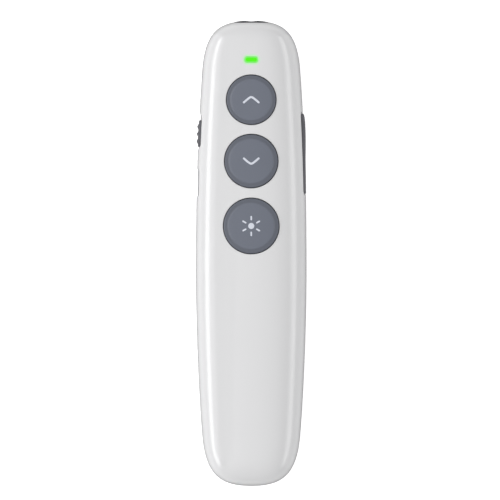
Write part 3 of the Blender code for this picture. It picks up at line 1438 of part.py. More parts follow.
def make_receiver():
    """The stowed receiver, its plug and contact tongue, the magnet over it and the casing screws."""
    width, length, depth = bay_size()
    low = BAY_RECESS
    grip_front = BAY_REAR + BAY_CLEARANCE + GRIP_LENGTH
    middle_height = low + GRIP_HEIGHT / 2
    box(
        "receiver_grip", (GRIP_WIDTH, GRIP_LENGTH, GRIP_HEIGHT),
        (0.0, grip_front - GRIP_LENGTH / 2, middle_height), PARTS, BLACK_PLASTIC, GRIP_BEVEL,
    )
    plug_rear = grip_front + CONTACT_GAP
    plug_length = PLUG_SHELL_LENGTH - CONTACT_GAP
    shell = box(
        "receiver_plug_shell", (PLUG_SHELL_WIDTH, plug_length, PLUG_SHELL_HEIGHT),
        (0.0, plug_rear + plug_length / 2, middle_height), PARTS, STEEL,
    )
    inside = box(
        "plug_inside",
        (
            PLUG_SHELL_WIDTH - 2 * PLUG_SHELL_SHEET,
            plug_length + OVERRUN,
            PLUG_SHELL_HEIGHT - 2 * PLUG_SHELL_SHEET,
        ),
        (0.0, plug_rear + PLUG_SHELL_SHEET + (plug_length + OVERRUN) / 2, middle_height), CUTTERS,
    )
    cut(shell, inside)
    tongue_length = plug_length - PLUG_SHELL_SHEET - CONTACT_GAP - USB_TONGUE_INSET
    tongue_low = middle_height - PLUG_SHELL_HEIGHT / 2 + PLUG_SHELL_SHEET + CONTACT_GAP
    box(
        "receiver_tongue",
        (PLUG_SHELL_WIDTH - 2 * PLUG_SHELL_SHEET - 2 * SEAT_CLEARANCE, tongue_length, USB_TONGUE_THICKNESS),
        (
            0.0,
            plug_rear + PLUG_SHELL_SHEET + CONTACT_GAP + tongue_length / 2,
            tongue_low + USB_TONGUE_THICKNESS / 2,
        ),
        PARTS, BLACK_PLASTIC,
    )
    cylinder(
        "receiver_magnet", MAGNET_RADIUS, MAGNET_THICKNESS,
        (0.0, BAY_REAR + length / 2, depth + BAY_ROOF - MAGNET_THICKNESS / 2), ALONG_Z, PARTS, STEEL,
        segments=ROUND_SEGMENTS,
    )
    for k, y in enumerate(case_screw_places(), 1):
        screw(f"case_screw_{k}", CASE_SCREW_RADIUS, CASE_SCREW_LENGTH, (0.0, y, case_screw_base()))


def main():
    top, bottom = make_casings()
    add_board_bosses(top)
    add_case_bosses(top)
    add_saddles(top, bottom)
    add_rocker_bearings(top, bottom)
    add_bay(bottom)
    add_tray(bottom)
    cut_key_holes(top)
    cut_light_slot(top)
    cut_side_openings(top, bottom)
    cut_nose(top, bottom)
    smooth(top)
    smooth(bottom)
    make_laser(make_bezel())
    for key in KEY_PLACES:
        make_key(key)
        make_switch(key)
    make_light()
    make_board()
    make_slider()
    make_rocker()
    make_charge_socket()
    make_battery()
    make_receiver()


main()
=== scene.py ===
"""Looks of a white hand-held presenter with a laser pointer, built on its fixed frame.

Metres, +Z up, +Y towards the laser end. Every new piece is a surface worked out with numpy.
"""

import json
import math

import bmesh
import bpy
import numpy as np
from bpy.props import FloatProperty, FloatVectorProperty, PointerProperty
from bpy.types import Operator, Panel, PropertyGroup
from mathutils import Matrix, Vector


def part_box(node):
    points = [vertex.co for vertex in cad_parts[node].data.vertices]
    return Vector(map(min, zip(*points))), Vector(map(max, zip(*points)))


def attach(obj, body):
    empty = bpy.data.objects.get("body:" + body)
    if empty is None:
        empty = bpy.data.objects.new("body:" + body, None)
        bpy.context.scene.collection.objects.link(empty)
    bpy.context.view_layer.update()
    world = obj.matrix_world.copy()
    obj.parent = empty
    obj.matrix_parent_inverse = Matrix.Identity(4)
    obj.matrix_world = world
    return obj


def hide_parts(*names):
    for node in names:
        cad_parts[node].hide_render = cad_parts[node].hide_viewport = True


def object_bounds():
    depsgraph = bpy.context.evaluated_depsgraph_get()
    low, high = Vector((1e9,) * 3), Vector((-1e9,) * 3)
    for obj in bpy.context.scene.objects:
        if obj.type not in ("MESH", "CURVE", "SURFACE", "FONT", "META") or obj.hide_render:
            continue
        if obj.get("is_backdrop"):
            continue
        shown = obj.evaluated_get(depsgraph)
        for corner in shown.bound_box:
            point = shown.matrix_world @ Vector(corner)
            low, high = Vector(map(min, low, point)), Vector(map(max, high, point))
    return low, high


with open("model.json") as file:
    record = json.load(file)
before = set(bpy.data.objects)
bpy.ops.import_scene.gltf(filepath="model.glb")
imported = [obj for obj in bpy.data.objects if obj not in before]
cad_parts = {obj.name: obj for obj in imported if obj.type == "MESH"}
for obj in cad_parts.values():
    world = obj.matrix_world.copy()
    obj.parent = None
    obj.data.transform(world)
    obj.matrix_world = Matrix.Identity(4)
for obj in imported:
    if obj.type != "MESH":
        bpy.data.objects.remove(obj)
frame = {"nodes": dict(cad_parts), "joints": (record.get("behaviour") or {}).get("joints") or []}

bl_info = {
    "name": "Presenter laser pointer",
    "version": (1, 0, 0),
    "blender": (4, 5, 0),
    "location": "3D View > Sidebar > Pointer",
    "description": "Builds the looks of a hand-held presenter with a laser pointer on its frame",
    "category": "Object",
}

MM = 0.001
TINY = 1e-9  # keeps a divisor from zero
ORIGIN, WHITE = (0.0, 0.0, 0.0), (1.0, 1.0, 1.0)

# Outline of the casing as shares of half the length, and of half the width or of a height.
# Each row is one cubic Bezier stretch, from the laser end to the tail.
PLAN = (
    ((1.0, 0.0), (1.0, 0.561), (0.962, 0.837), (0.7815, 0.888)),
    ((0.7815, 0.888), (0.512, 0.964), (0.293, 1.0), (-0.066, 1.0)),
    ((-0.066, 1.0), (-0.412, 1.0), (-0.747, 0.9055), (-0.8086, 0.874)),
    ((-0.8086, 0.874), (-0.9614, 0.796), (-1.0, 0.513), (-1.0, 0.0)),
)
CROWN = (
    ((1.0, 0.0), (1.0, 0.50), (0.975, 0.905), (0.925, 0.945)),
    ((0.925, 0.945), (0.82, 1.024), (0.50, 1.0), (0.15, 1.0)),
    ((0.15, 1.0), (-0.30, 1.0), (-0.60, 0.945), (-0.86, 0.865)),
    ((-0.86, 0.865), (-0.967, 0.832), (-1.0, 0.56), (-1.0, 0.0)),
)
HULL = (
    ((1.0, 0.0), (1.0, 0.40), (0.975, 0.70), (0.90, 0.775)),
    ((0.90, 0.775), (0.78, 0.895), (0.66, 1.0), (0.52, 1.0)),
    ((0.52, 1.0), (0.10, 1.0), (-0.40, 1.0), (-0.80, 1.0)),
    ((-0.80, 1.0), (-0.93, 1.0), (-1.0, 0.60), (-1.0, 0.0)),
)
FLAT_SHARE = 0.55  # half-width of the flat foot, as a share of the section's
CROWN_POWER, HULL_POWER = 2.7, 2.2  # of the superellipse arches above and below the seam
STATIONS = (44, 26, 26, 44)  # rings along each stretch of the plan
FINE_STATIONS = (400,) * 4  # points along each stretch of the outlines that sizes() reads
HALVINGS = 40  # steps that find the nose's skin
FLAT_WEIGHT = 60  # how much more a larger face bends the shading at its corners
BEZEL_PROUD = 0.1 * MM  # how far the bezel stands out of the casing's nose
SHARP_ANGLE = math.radians(32.0)  # an edge that bends more is sharp
CLEAR = 2 * MM  # how far a cutter reaches past the skin
MERGE = 0.0002 * MM  # two points that lie closer are one

KEYS = ("page_up", "page_down", "laser")
KEY_FLANGE = 0.9 * MM  # width of a key's flange past its hole
PAD_SHARE, STEP_SHARE = 0.80, 0.085  # of a key's radius: its raised pad, and the step round that
LIGHT_HALVES = (1.88 * MM, 0.86 * MM)  # of the status light's window, across and along
LIGHT_REACH = 3 * MM  # how far below its window the status light's painted glow still tints the casing
DISH_DEPTH = 0.3 * MM  # of the dish round the slider
SLOT_AHEAD = 0.75 * MM  # middle of the slider's slot, ahead of the slider
PORT_HOLE = (3.5 * MM, 1.25 * MM)  # half-sizes of the hole round the charging socket
FLAT_CORNER = 0.8 * MM  # corner radius of the flat round the charging socket
BEARING_FACE, BEARING_BOTTOM = 2.9 * MM, 3.7 * MM  # of the rocker's bearings, from its middle
SIDE_NODES = ("power_switch_lever", "volume_rocker", "charge_socket_shell")  # they place the side controls
CASE_SCREWS = ("case_screw_1", "case_screw_2")
BOARD_SCREWS = ("board_screw_1", "board_screw_2", "board_screw_3", "board_screw_4")

# Lamps, whose powers StudioSettings holds: size, place, whether one lights matt surfaces, and whether it
# shows in gloss. Each strip has a twin in its place, so its soft light and its reflection differ.
LEFT, RIGHT = (-0.44, 0.0, 0.232), (0.42, 0.02, 0.262)
LAMPS = {
    "overhead": ((1.45, 1.45), (-0.56, 0.22, 0.74), True, True),
    "left_strip": ((0.13, 0.67), LEFT, False, True),
    "left_fill": ((0.13, 0.67), LEFT, True, False),
    "right_strip": ((0.14, 0.74), RIGHT, False, True),
    "right_fill": ((0.14, 0.74), RIGHT, True, False),
}
FLOOR_REACH = 3.0  # from the middle to each edge
# What the floor gives off by itself: to all that see it, and the camera's part on top of that.
FLOOR_GLOW_GLOSS, FLOOR_GLOW_CAMERA = 0.25, 0.32
# A long lens 5 m above the seam's height, so the sides look as parallel as in the photograph.
LENS_MM = 1288.8
CAMERA = (-0.35 * MM, 0.9 * MM, 5.0 + 11.0 * MM)


def linear(code):
    """An sRGB hex colour as linear red, green and blue."""
    value = np.array([int(code[i : i + 2], 16) for i in (1, 3, 5)]) / 255.0
    return tuple(np.where(value <= 0.04045, value / 12.92, ((value + 0.055) / 1.055) ** 2.4).tolist())


def tone(colour):
    """Linear colour of an sRGB hex value, or of one of the Finishes by its name."""
    if colour.startswith("#"):
        return linear(colour)
    return tuple(getattr(bpy.context.scene.pointer_finishes, colour))


def distance(name, description, default):
    """A length property, shown in the scene's unit."""
    return FloatProperty(
        name=name, description=description, default=default, min=0.0, precision=5,
        subtype="DISTANCE", unit="LENGTH",
    )


def wattage(name, description, default):
    """A lamp's power in watts, as the panel shows it."""
    return FloatProperty(
        name=name, description=description, default=default, min=0.0, subtype="POWER", unit="POWER"
    )


def colour(name, description, default):
    """A colour property whose default is an sRGB hex colour."""
    return FloatVectorProperty(
        name=name, description=description, default=linear(default), min=0.0, max=1.0,
        size=3, subtype="COLOR",
    )


class CasingSizes(PropertyGroup):
    """Sizes of the white casing."""

    length: distance("Length", "Overall length of the casing", 129.9 * MM)
    width: distance("Width", "Overall width of the casing", 30.9 * MM)
    seam: distance("Seam height", "Height of the parting line above the base", 11.0 * MM)
    crown: distance("Crown height", "Height of the crown above the parting line", 8.6 * MM)
    wall: distance("Wall", "Wall thickness of both casings", 1.6 * MM)
    seam_gap: distance("Seam gap", "Gap of the parting line", 0.05 * MM)
    edge: distance("Edge rounding", "Rounding where the skin meets an opening or the seam", 0.14 * MM)
    lip: distance("Lip height", "Height of the lip that the casings share", 0.9 * MM)
    lip_wall: distance("Lip wall", "Thickness of the lip", 0.7 * MM)


class ControlSizes(PropertyGroup):
    """Sizes of the keys and of the side controls."""

    key_gap: distance("Key gap", "Gap round each round key", 0.2 * MM)
    rim_proud: distance("Rim proud", "Height of a key's rim over the casing", 0.26 * MM)
    pad_rise: distance("Pad rise", "Height of a key's middle over its rim", 0.13 * MM)
    stroke: distance("Symbol stroke", "Line width of the key symbols", 0.58 * MM)
    print_height: distance("Print height", "Thickness of the printed key symbols", 0.03 * MM)
    knob_proud: distance("Slider proud", "How far the slider's ribs stand out", 0.48 * MM)
    rib_depth: distance("Rib depth", "Height of the slider's ribs over their floor", 0.33 * MM)
    rocker_proud: distance("Rocker proud", "How far the rocker stands out", 0.2 * MM)


class Finishes(PropertyGroup):
    """Colours of the finishes."""

    white: colour("White casing", "Gloss white moulded plastic", "#E2E2E3")
    slate: colour("Round keys", "Satin slate grey moulded plastic", "#6B707C")
    charcoal: colour("Side controls", "Dark grey rubbery plastic", "#5C5C61")
    ink: colour("Key symbols", "Pale printed ink", "#D9DDE7")
    smoke: colour("Laser bezel", "Smoked glossy plastic", "#545559")
    green: colour("Status light", "Lit green light guide", "#55F91E")
    board: colour("Circuit board", "Green solder mask", "#1B6B43")


class StudioSettings(PropertyGroup):
    """Light and floor of the studio."""

    overhead: wattage("Overhead light", "Power of the soft light overhead", 3.7)
    left_strip: wattage("Left strip", "Power of the long left strip, seen in gloss", 1.50)
    left_fill: wattage("Left fill", "Power of the left strip's soft light, not seen in gloss", 0.98)
    right_strip: wattage("Right strip", "Power of the faint right strip, seen in gloss", 0.92)
    right_fill: wattage("Right fill", "Power of the right strip's soft light, not seen in gloss", 0.56)
    ambient: FloatProperty(
        name="Ambient light", description="Strength of the even light from all round", default=0.575, min=0.0,
    )
    floor: colour("Floor", "Plain pale floor", "#F2F2F2")


def falling(share, power):
    """The superellipse arch (1 - |share|^power)^(1/power): 1 at share 0, 0 at share 1."""
    return (1.0 - np.minimum(np.abs(share), 1.0) ** power) ** (1.0 / power)


def smooth_step(share):
    """3 s^2 - 2 s^3, which starts level at 0 and ends level at 1."""
    return share**2 * (3 - 2 * share)


class CasingForm:
    """The casing's form: superellipse sections whose sizes follow three Bezier outlines along Y."""

    def __init__(self, size):
        self.size = size
        self.middle = -BEZEL_PROUD / 2
        self.across = {PLAN: size.width / 2, CROWN: size.crown, HULL: size.seam}
        self.tables = {}

    def outline(self, shares, counts, inset):
        """Points (y, size) of B(t) = s^3 a + 3 s^2 t b + 3 s t^2 c + t^3 d with s = 1 - t, per stretch.

        The curve is then moved inwards by inset, square to itself."""
        scale = np.array([self.size.length / 2, self.across[shares]])
        stretches = []
        for corners, count in zip(np.array(shares) * scale, counts):
            t = np.linspace(0.0, 1.0, count + 1)[1 if stretches else 0 :]
            weights = np.stack(((1 - t) ** 3, 3 * (1 - t) ** 2 * t, 3 * (1 - t) * t**2, t**3), axis=1)
            stretches.append(weights @ corners)
        points = np.vstack(stretches) + (self.middle, 0.0)
        slope = np.gradient(points, axis=0)
        slope[0], slope[-1] = (0.0, 1.0), (0.0, -1.0)
        slope /= np.linalg.norm(slope, axis=1)[:, None]
        return points - inset * np.column_stack((slope[:, 1], -slope[:, 0]))

    def sizes(self, y, inset=0.0):
        """Half-width, crown height and hull depth of the section at y, for the form moved in by inset."""
        found = []
        for shares in (PLAN, CROWN, HULL):
            if (shares, inset) not in self.tables:
                self.tables[shares, inset] = self.outline(shares, FINE_STATIONS, inset)[::-1]
            table = self.tables[shares, inset]
            found.append(np.interp(y, table[:, 0], table[:, 1]))
        return found

    def top(self, x, y, inset=0.0):
        """Height of the crown: seam + crown(y) * (1 - |x/half(y)|^p)^(1/p)."""
        half, crown, _ = self.sizes(y, inset)
        return self.size.seam + crown * falling(x / np.maximum(half, TINY), CROWN_POWER)

    def roof(self, x, y):
        """Height of the middle of the crown's wall at (x, y)."""
        return float(self.top(x, y)) - self.size.wall / 2

    def side(self, y, z, inset=0.0):
        """Half-width at height z: the same arch above the seam, and a flatter one with a flat foot below."""
        half, crown, hull = self.sizes(y, inset)
        rise = z - self.size.seam
        above = half * falling(np.maximum(rise, 0.0) / np.maximum(crown, TINY), CROWN_POWER)
        foot = half * FLAT_SHARE
        below = foot + (half - foot) * falling(np.maximum(-rise, 0.0) / np.maximum(hull, TINY), HULL_POWER)
        return np.where(rise >= 0, above, below)

    def under(self, x, y, inset=0.0):
        """Height of the underside: flat to the foot's edge, then the lower arch."""
        half, _, hull = self.sizes(y, inset)
        foot = half * FLAT_SHARE
        share = np.maximum(np.abs(x) - foot, 0.0) / np.maximum(half - foot, TINY)
        return self.size.seam - hull * falling(share, HULL_POWER)

    def nose(self, x, z, inset=0.0):
        """Distance forward of the nose's skin at (x, z), found by halving: inside the section or not."""
        low = np.full(np.shape(x), self.middle + self.size.length / 4)
        high = np.full(np.shape(x), self.middle + self.size.length / 2 - inset)
        for _ in range(HALVINGS):
            y = (low + high) / 2
            inside = np.abs(x) < self.side(y, z, inset)
            _, crown, hull = self.sizes(y, inset)
            inside &= (z < self.size.seam + crown) & (z > self.size.seam - hull)
            low, high = np.where(inside, y, low), np.where(inside, high, y)
        return (low + high) / 2


def ring_solid(rings, start=None, end=None, looped=False):
    """A closed skin over a stack of rings: quads between neighbours, and a fan to a point at each end.

    The end points are the middles of the end rings where none are given. An end given as False is a
    ring that meets itself, and a looped stack closes on itself. The faces are turned outwards by the
    sign of the enclosed volume."""
    rings = np.asarray(rings, float)
    count, around = rings.shape[:2]
    index = np.arange(count * around).reshape(count, around)
    if looped:
        index = np.vstack((index, index[:1]))
    near, far = index[:-1], index[1:]
    quads = np.stack(
        (near, np.roll(near, -1, axis=1), np.roll(far, -1, axis=1), far), axis=-1
    ).reshape(-1, 4)
    verts = rings.reshape(-1, 3)
    fans = np.zeros((0, 3), int)
    for ring, tip, row in ((rings[0], start, index[0]), (rings[-1], end, index[-1][::-1])):
        if looped or tip is False:
            continue
        middle = np.full(around, len(verts))
        verts = np.vstack((verts, ring.mean(axis=0) if tip is None else tip))
        fans = np.vstack((fans, np.column_stack((middle, np.roll(row, -1), row))))
    triangles = np.vstack((quads[:, :3], quads[:, [0, 2, 3]], fans))
    a, b, c = (verts[triangles[:, k]] for k in range(3))
    if np.einsum("ij,ij->", a, np.cross(b, c)) < 0:
        quads, fans = quads[:, ::-1], fans[:, ::-1]
    return verts, quads, fans


def mesh_object(name, forms):
    """One mesh object of several closed forms, with points closer than MERGE made one."""
    verts, faces, start = [], [], 0
    for points, quads, fans in forms:
        verts.append(points)
        faces += (quads + start).tolist() + (fans + start).tolist()
        start += len(points)
    data = bpy.data.meshes.new(name)
    data.from_pydata(np.vstack(verts).tolist(), [], faces)
    work = bmesh.new()
    work.from_mesh(data)
    bmesh.ops.remove_doubles(work, verts=work.verts, dist=MERGE)
    bmesh.ops.dissolve_degenerate(work, edges=work.edges, dist=MERGE / 2)
    work.to_mesh(data)
    work.free()
    data.validate()
    obj = bpy.data.objects.new(name, data)
    bpy.context.scene.collection.objects.link(obj)
    return obj


def carve(obj, forms, operation="DIFFERENCE"):
    """Cuts forms from obj, or joins them to it, with an exact Boolean applied to obj's mesh.

    Forms of one call don't overlap each other. The faces that they leave keep material index 1, which
    tells dress() where the cut runs."""
    tool = mesh_object(f"{obj.name}_tool", forms)
    for mesh in (obj.data, tool.data):
        mesh.materials.clear()
        mesh.materials.append(None)
        mesh.materials.append(None)
    tool.data.polygons.foreach_set("material_index", np.ones(len(tool.data.polygons), np.int32))
    step = obj.modifiers.new("step", "BOOLEAN")
    step.operation, step.object, step.solver, step.material_mode = operation, tool, "EXACT", "INDEX"
    graph = bpy.context.evaluated_depsgraph_get()
    made = bpy.data.meshes.new_from_object(obj.evaluated_get(graph))
    if not len(made.polygons):
        raise RuntimeError(f"nothing is left of {obj.name} after a Boolean")
    obj.modifiers.clear()
    obj.data = made
    bpy.data.objects.remove(tool)


def dress(obj, finish, body, slot, *replaced):
    """Smooth shading up to the sharp angle, weighted by face area; then finish, body and CAD nodes. The slot
    is not used.

    An edge between a cut's face and the skin is sharp too, so the cut doesn't bend the skin's shading."""
    mesh = obj.data
    mesh.shade_smooth()
    mesh.set_sharp_from_angle(angle=SHARP_ANGLE)
    index = np.zeros(len(mesh.polygons), np.int32)
    mesh.polygons.foreach_get("material_index", index)
    if index.any():
        corners, edges = np.zeros(len(index), np.int32), np.zeros(len(mesh.loops), np.int32)
        mesh.polygons.foreach_get("loop_total", corners)
        mesh.loops.foreach_get("edge_index", edges)
        least, most = np.ones(len(mesh.edges), np.int32), np.zeros(len(mesh.edges), np.int32)
        np.minimum.at(least, edges, np.repeat(index, corners))
        np.maximum.at(most, edges, np.repeat(index, corners))
        sharp_edges = np.zeros(len(mesh.edges), bool)
        mesh.edges.foreach_get("use_edge_sharp", sharp_edges)
        mesh.edges.foreach_set("use_edge_sharp", sharp_edges | (least < most))
        mesh.polygons.foreach_set("material_index", np.zeros(len(index), np.int32))
    weigh = obj.modifiers.new("flat faces stay flat", "WEIGHTED_NORMAL")
    weigh.keep_sharp = True
    weigh.weight = FLAT_WEIGHT
    mesh.materials.clear()
    mesh.materials.append(finish)
    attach(obj, body)
    if replaced:
        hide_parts(*replaced)


def piece(name, forms, *dressing):
    """A piece of closed forms that nothing is cut from."""
    dress(mesh_object(name, forms), *dressing)


def rounded_outline(half_a, half_b, corner, count=96, step=0.5 * MM):
    """Points (a, b) round a rounded rectangle, with the outward direction at each.

    Quarter arcs of the corner radius about the four corner centres, and straights in equal steps."""
    corner = min(corner, half_a, half_b)
    turn = np.linspace(0.0, math.pi / 2, count // 4)
    points, outs = [], []
    for k, signs in enumerate(((1, 1), (-1, 1), (-1, -1), (1, -1))):
        angle = turn + k * math.pi / 2
        out = np.column_stack((np.cos(angle), np.sin(angle)))
        arc = corner * out + np.array(signs) * (half_a - corner, half_b - corner)
        run = 2 * ((half_a, half_b)[k % 2] - corner)
        along = np.linspace(0.0, run, max(1, round(run / step)) + 1)[1:-1, None]
        straight = arc[-1] + along * (-out[-1, 1], out[-1, 0])
        points += [arc, straight]
        outs += [out, np.broadcast_to(out[-1], straight.shape)]
    return np.vstack(points), np.vstack(outs)


def stand(form, face, a, b, value, absolute=False):
    """Points over a face of the casing: (a, b) in its plane, and a height over its skin, or a plain place."""
    if face == "top":
        return np.stack((a, b, value + (0.0 if absolute else form.top(a, b))), axis=-1)
    if face == "under":
        return np.stack((a, b, value if absolute else form.under(a, b) - value), axis=-1)
    if face == "nose":
        return np.stack((a, value + (0.0 if absolute else form.nose(a, b)), b), axis=-1)
    side = 1.0 if face == "right" else -1.0
    reach = value + (0.0 if absolute else form.side(a, b))
    return np.stack((side * reach, a, b), axis=-1)


def lifted(height, more):
    """A height, or a function of (a, b) that gives one, raised by more."""
    return (lambda a, b: height(a, b) + more) if callable(height) else height + more


def rounded_edge(radius, height, steps=6):
    """Rows of a quarter round where a top of that height meets its wall: sines in, cosines down."""
    turn = np.linspace(0.0, math.pi / 2, steps)
    return [(radius * (math.sin(t) - 1), lifted(height, radius * (math.cos(t) - 1))) for t in turn]


def shaft(form, face, centre, halves, corner, rows, count=96, step=0.5 * MM, caps=(0, 0)):
    """A solid whose rings are one rounded outline, grown and raised row by row.

    rows are (growth, height) over the skin, or (growth, place, True) for a plain place, and a height
    may be a function of (a, b). caps are the numbers of rings that close the first and the last row:
    they shrink the outline to its spine, the line that is as far from both long sides."""
    outline, out = rounded_outline(*halves, corner, count, step)
    reach = np.array(halves) - min(halves)
    spine = np.clip(outline, -reach, reach)

    def ring(share, growth, height, plain=False):
        """The outline moved outwards by growth, then towards its spine by share, at that height."""
        place = outline + growth * out
        a, b = (place + share * (spine - place)).T
        value = height(a, b) if callable(height) else np.full(a.shape, height)
        return stand(form, face, a + centre[0], b + centre[1], value, plain)

    first, last = caps
    rings = [ring(share, *rows[0]) for share in np.linspace(1.0, 0.0, first + 1)[:-1]] if first else []
    rings += [ring(0.0, *row) for row in rows]
    rings += [ring(share, *rows[-1]) for share in np.linspace(0.0, 1.0, last + 1)[1:]] if last else []
    return ring_solid(rings, False if first else None, False if last else None)


def opening(form, face, centre, halves, corner, inner, outer, count=96, edge=None, sunk=0.0):
    """A cutter for an opening whose edge is rounded: a quarter round, then a steep flare out of the skin.

    sunk is the depth of the dish in the skin that the opening lies in."""
    edge = edge or form.size.edge
    turn = np.radians((0.0, 15.0, 30.0, 45.0, 60.0, 72.0))
    rows = [(0.0, inner, True)]
    rows += [(edge * (1 - math.cos(t)), edge * (math.sin(t) - 1) - sunk) for t in turn]
    rows += [(edge + 0.3 * MM, 0.11 * MM - sunk), (edge + 0.3 * MM, outer, True)]
    return shaft(form, face, centre, halves, corner, rows, count)


def span(middle, half):
    """The two ends of a stretch, from its middle and half of its length."""
    return middle - half, middle + half


def block(x, y, z, radius, steps=4):
    """A box with rounded edges, from its ends along each axis: the corner centres, plus the radius
    along a sphere's directions."""
    low, high = np.array((x, y, z), float).T
    radius = min(radius, *((high - low) / 2))
    turn = np.linspace(0.0, math.pi / 2, steps + 1)
    around = np.concatenate([turn + k * math.pi / 2 for k in range(4)])
    sign_x = np.repeat((1, -1, -1, 1), steps + 1)
    sign_y = np.repeat((1, 1, -1, -1), steps + 1)
    rise = np.concatenate((turn - math.pi / 2, turn))[:, None]
    sign_z = np.repeat((-1, 1), steps + 1)[:, None]
    out = np.stack((
        np.cos(rise) * np.cos(around), np.cos(rise) * np.sin(around), np.sin(rise) * np.ones_like(around)
    ), axis=-1)
    signs = np.stack(np.broadcast_arrays(sign_x, sign_y, sign_z), axis=-1)
    rings = (low + high) / 2 + signs * ((high - low) / 2 - radius) + radius * out
    return ring_solid(rings)


def lathe(centre, profile, axis="z", count=64):
    """A turned solid: (radius, place) points carried round an axis, closed at both ends."""
    radius, place = np.array(profile, float).T
    angle = np.linspace(0.0, 2 * math.pi, count, endpoint=False)
    a = radius[:, None] * np.cos(angle)
    b = radius[:, None] * np.sin(angle)
    c = np.repeat(place[:, None], count, axis=1)
    rings = np.stack((a, b, c) if axis == "z" else (b, c, a), axis=-1) + np.asarray(centre, float)
    tips = np.zeros((2, 3))
    tips[:, "xyz".index(axis)] = place[0], place[-1]
    return ring_solid(rings, *(tips + np.asarray(centre, float)))


def half_rings(form, upper):
    """Rings of one half of the outer skin, with a quarter round at the seam.

    Each ring is the section's superellipse arch between two quarter rounds of the edge radius, and the
    seam plane closes it."""
    size = form.size
    plan = form.outline(PLAN, STATIONS, 0.0)
    y, half = plan[1:-1, 0:1], plan[1:-1, 1:2]
    _, crown, hull = form.sizes(y)
    height, power = (crown, CROWN_POWER) if upper else (hull, HULL_POWER)
    gap = size.seam_gap if upper else 0.0
    foot = half * (0.0 if upper else FLAT_SHARE)
    edge = np.minimum(size.edge, np.minimum(height - gap, half) / 3)
    turn = np.linspace(0.0, math.pi / 2, 5)
    rise = gap + edge * (1 - np.cos(turn))
    low_x = foot + (half - foot) * falling(rise / height, power) - edge * (1 - np.sin(turn))
    first = np.arcsin(np.minimum((gap + edge) / height, 1.0) ** (power / 2))
    share = np.linspace(0.0, 1.0, 50)[1:]
    angle = first + (math.pi / 2 - first) * share
    arch_x = foot + (half - foot) * np.abs(np.cos(angle)) ** (2 / power)
    arch_rise = height * np.sin(angle) ** (2 / power)
    arch_x[:, -1] = foot[:, 0]
    x = np.hstack((low_x, arch_x))
    rise = np.hstack((rise, arch_rise))
    if upper:
        x, rise = np.hstack((x, -x[:, -2::-1])), np.hstack((rise, rise[:, -2::-1]))
    else:
        flat = foot * np.linspace(1.0, -1.0, 12)[1:-1]
        x, rise = np.hstack((x, flat, -x[:, ::-1])), np.hstack((rise, height + 0 * flat, rise[:, ::-1]))
    z = size.seam + (rise if upper else -rise)
    rings = np.stack((x, np.broadcast_to(y, x.shape), z), axis=-1)
    level = size.seam + gap
    return ring_solid(rings, (0.0, plan[0, 0], level), (0.0, plan[-1, 0], level))


def hollow(form):
    """The space inside the walls: the whole section moved in by the wall, as one closed loft."""
    size = form.size
    plan = form.outline(PLAN, STATIONS, size.wall)
    y, half = plan[1:-1, 0:1], plan[1:-1, 1:2]
    _, crown, hull = form.sizes(y, size.wall)
    up = np.linspace(0.0, math.pi, 61)
    down = np.linspace(0.0, math.pi / 2, 21)[1:]
    top_x = half * np.sign(np.cos(up)) * np.abs(np.cos(up)) ** (2 / CROWN_POWER)
    top_z = crown * np.abs(np.sin(up)) ** (2 / CROWN_POWER)
    foot = half * FLAT_SHARE
    low_x = foot + (half - foot) * np.abs(np.cos(down)) ** (2 / HULL_POWER)
    low_z = -hull * np.sin(down) ** (2 / HULL_POWER)
    x = np.hstack((top_x, -low_x, low_x[:, ::-1]))
    z = size.seam + np.hstack((top_z, low_z, low_z[:, ::-1]))
    rings = np.stack((x, np.broadcast_to(y, x.shape), z), axis=-1)
    return ring_solid(rings, (0.0, plan[0, 0], size.seam), (0.0, plan[-1, 0], size.seam))


def band(form, inset, low, high):
    """The section moved in by inset, between two heights: upright below the seam, on the arch above it."""
    size = form.size
    plan = form.outline(PLAN, STATIONS, inset)
    y, half = plan[1:-1, 0:1], plan[1:-1, 1:2]
    _, crown, _ = form.sizes(y, inset)
    reach = np.minimum(high - size.seam, 0.9 * crown)
    rise = np.hstack((np.full_like(y, low - size.seam), reach * np.linspace(0.0, 1.0, 5)))
    x = half * falling(np.maximum(rise, 0.0) / np.maximum(crown, TINY), CROWN_POWER)
    x, rise = np.hstack((x, -x[:, ::-1])), np.hstack((rise, rise[:, ::-1]))
    rings = np.stack((x, np.broadcast_to(y, x.shape), size.seam + rise), axis=-1)
    tips = [(0.0, plan[k, 0], (low + size.seam) / 2) for k in (0, -1)]
    return ring_solid(rings, *tips)


def add_node(tree, kind, inputs=(), **settings):
    """Adds a shader node, sets its properties, and links or fills its inputs, each by name or number.

    A node given as an input stands for its first output in use, and a colour may leave out its alpha."""
    node = tree.nodes.new(f"ShaderNode{kind}")
    for name, value in settings.items():
        setattr(node, name, value)
    for key, value in dict(inputs).items():
        named = [socket for socket in node.inputs if socket.enabled and socket.name == key]
        socket = named[0] if named else node.inputs[key]
        if isinstance(value, bpy.types.Node):
            value = next(output for output in value.outputs if output.enabled)
        if isinstance(value, bpy.types.NodeSocket):
            tree.links.new(value, socket)
        else:
            socket.default_value = (*value, 1.0)[:4] if socket.type == "RGBA" else value
    return node


def new_material(name):
    """An empty node material, its tree, and Object coordinates."""
    made = bpy.data.materials.new(name)
    made.use_nodes = True
    made.node_tree.nodes.clear()
    return made, made.node_tree, add_node(made.node_tree, "TexCoord").outputs["Object"]


def finish_with(made, tree, inputs):
    """Closes a material with a Principled BSDF that has the given inputs."""
    add_node(tree, "OutputMaterial", {"Surface": add_node(tree, "BsdfPrincipled", inputs)})
    return made


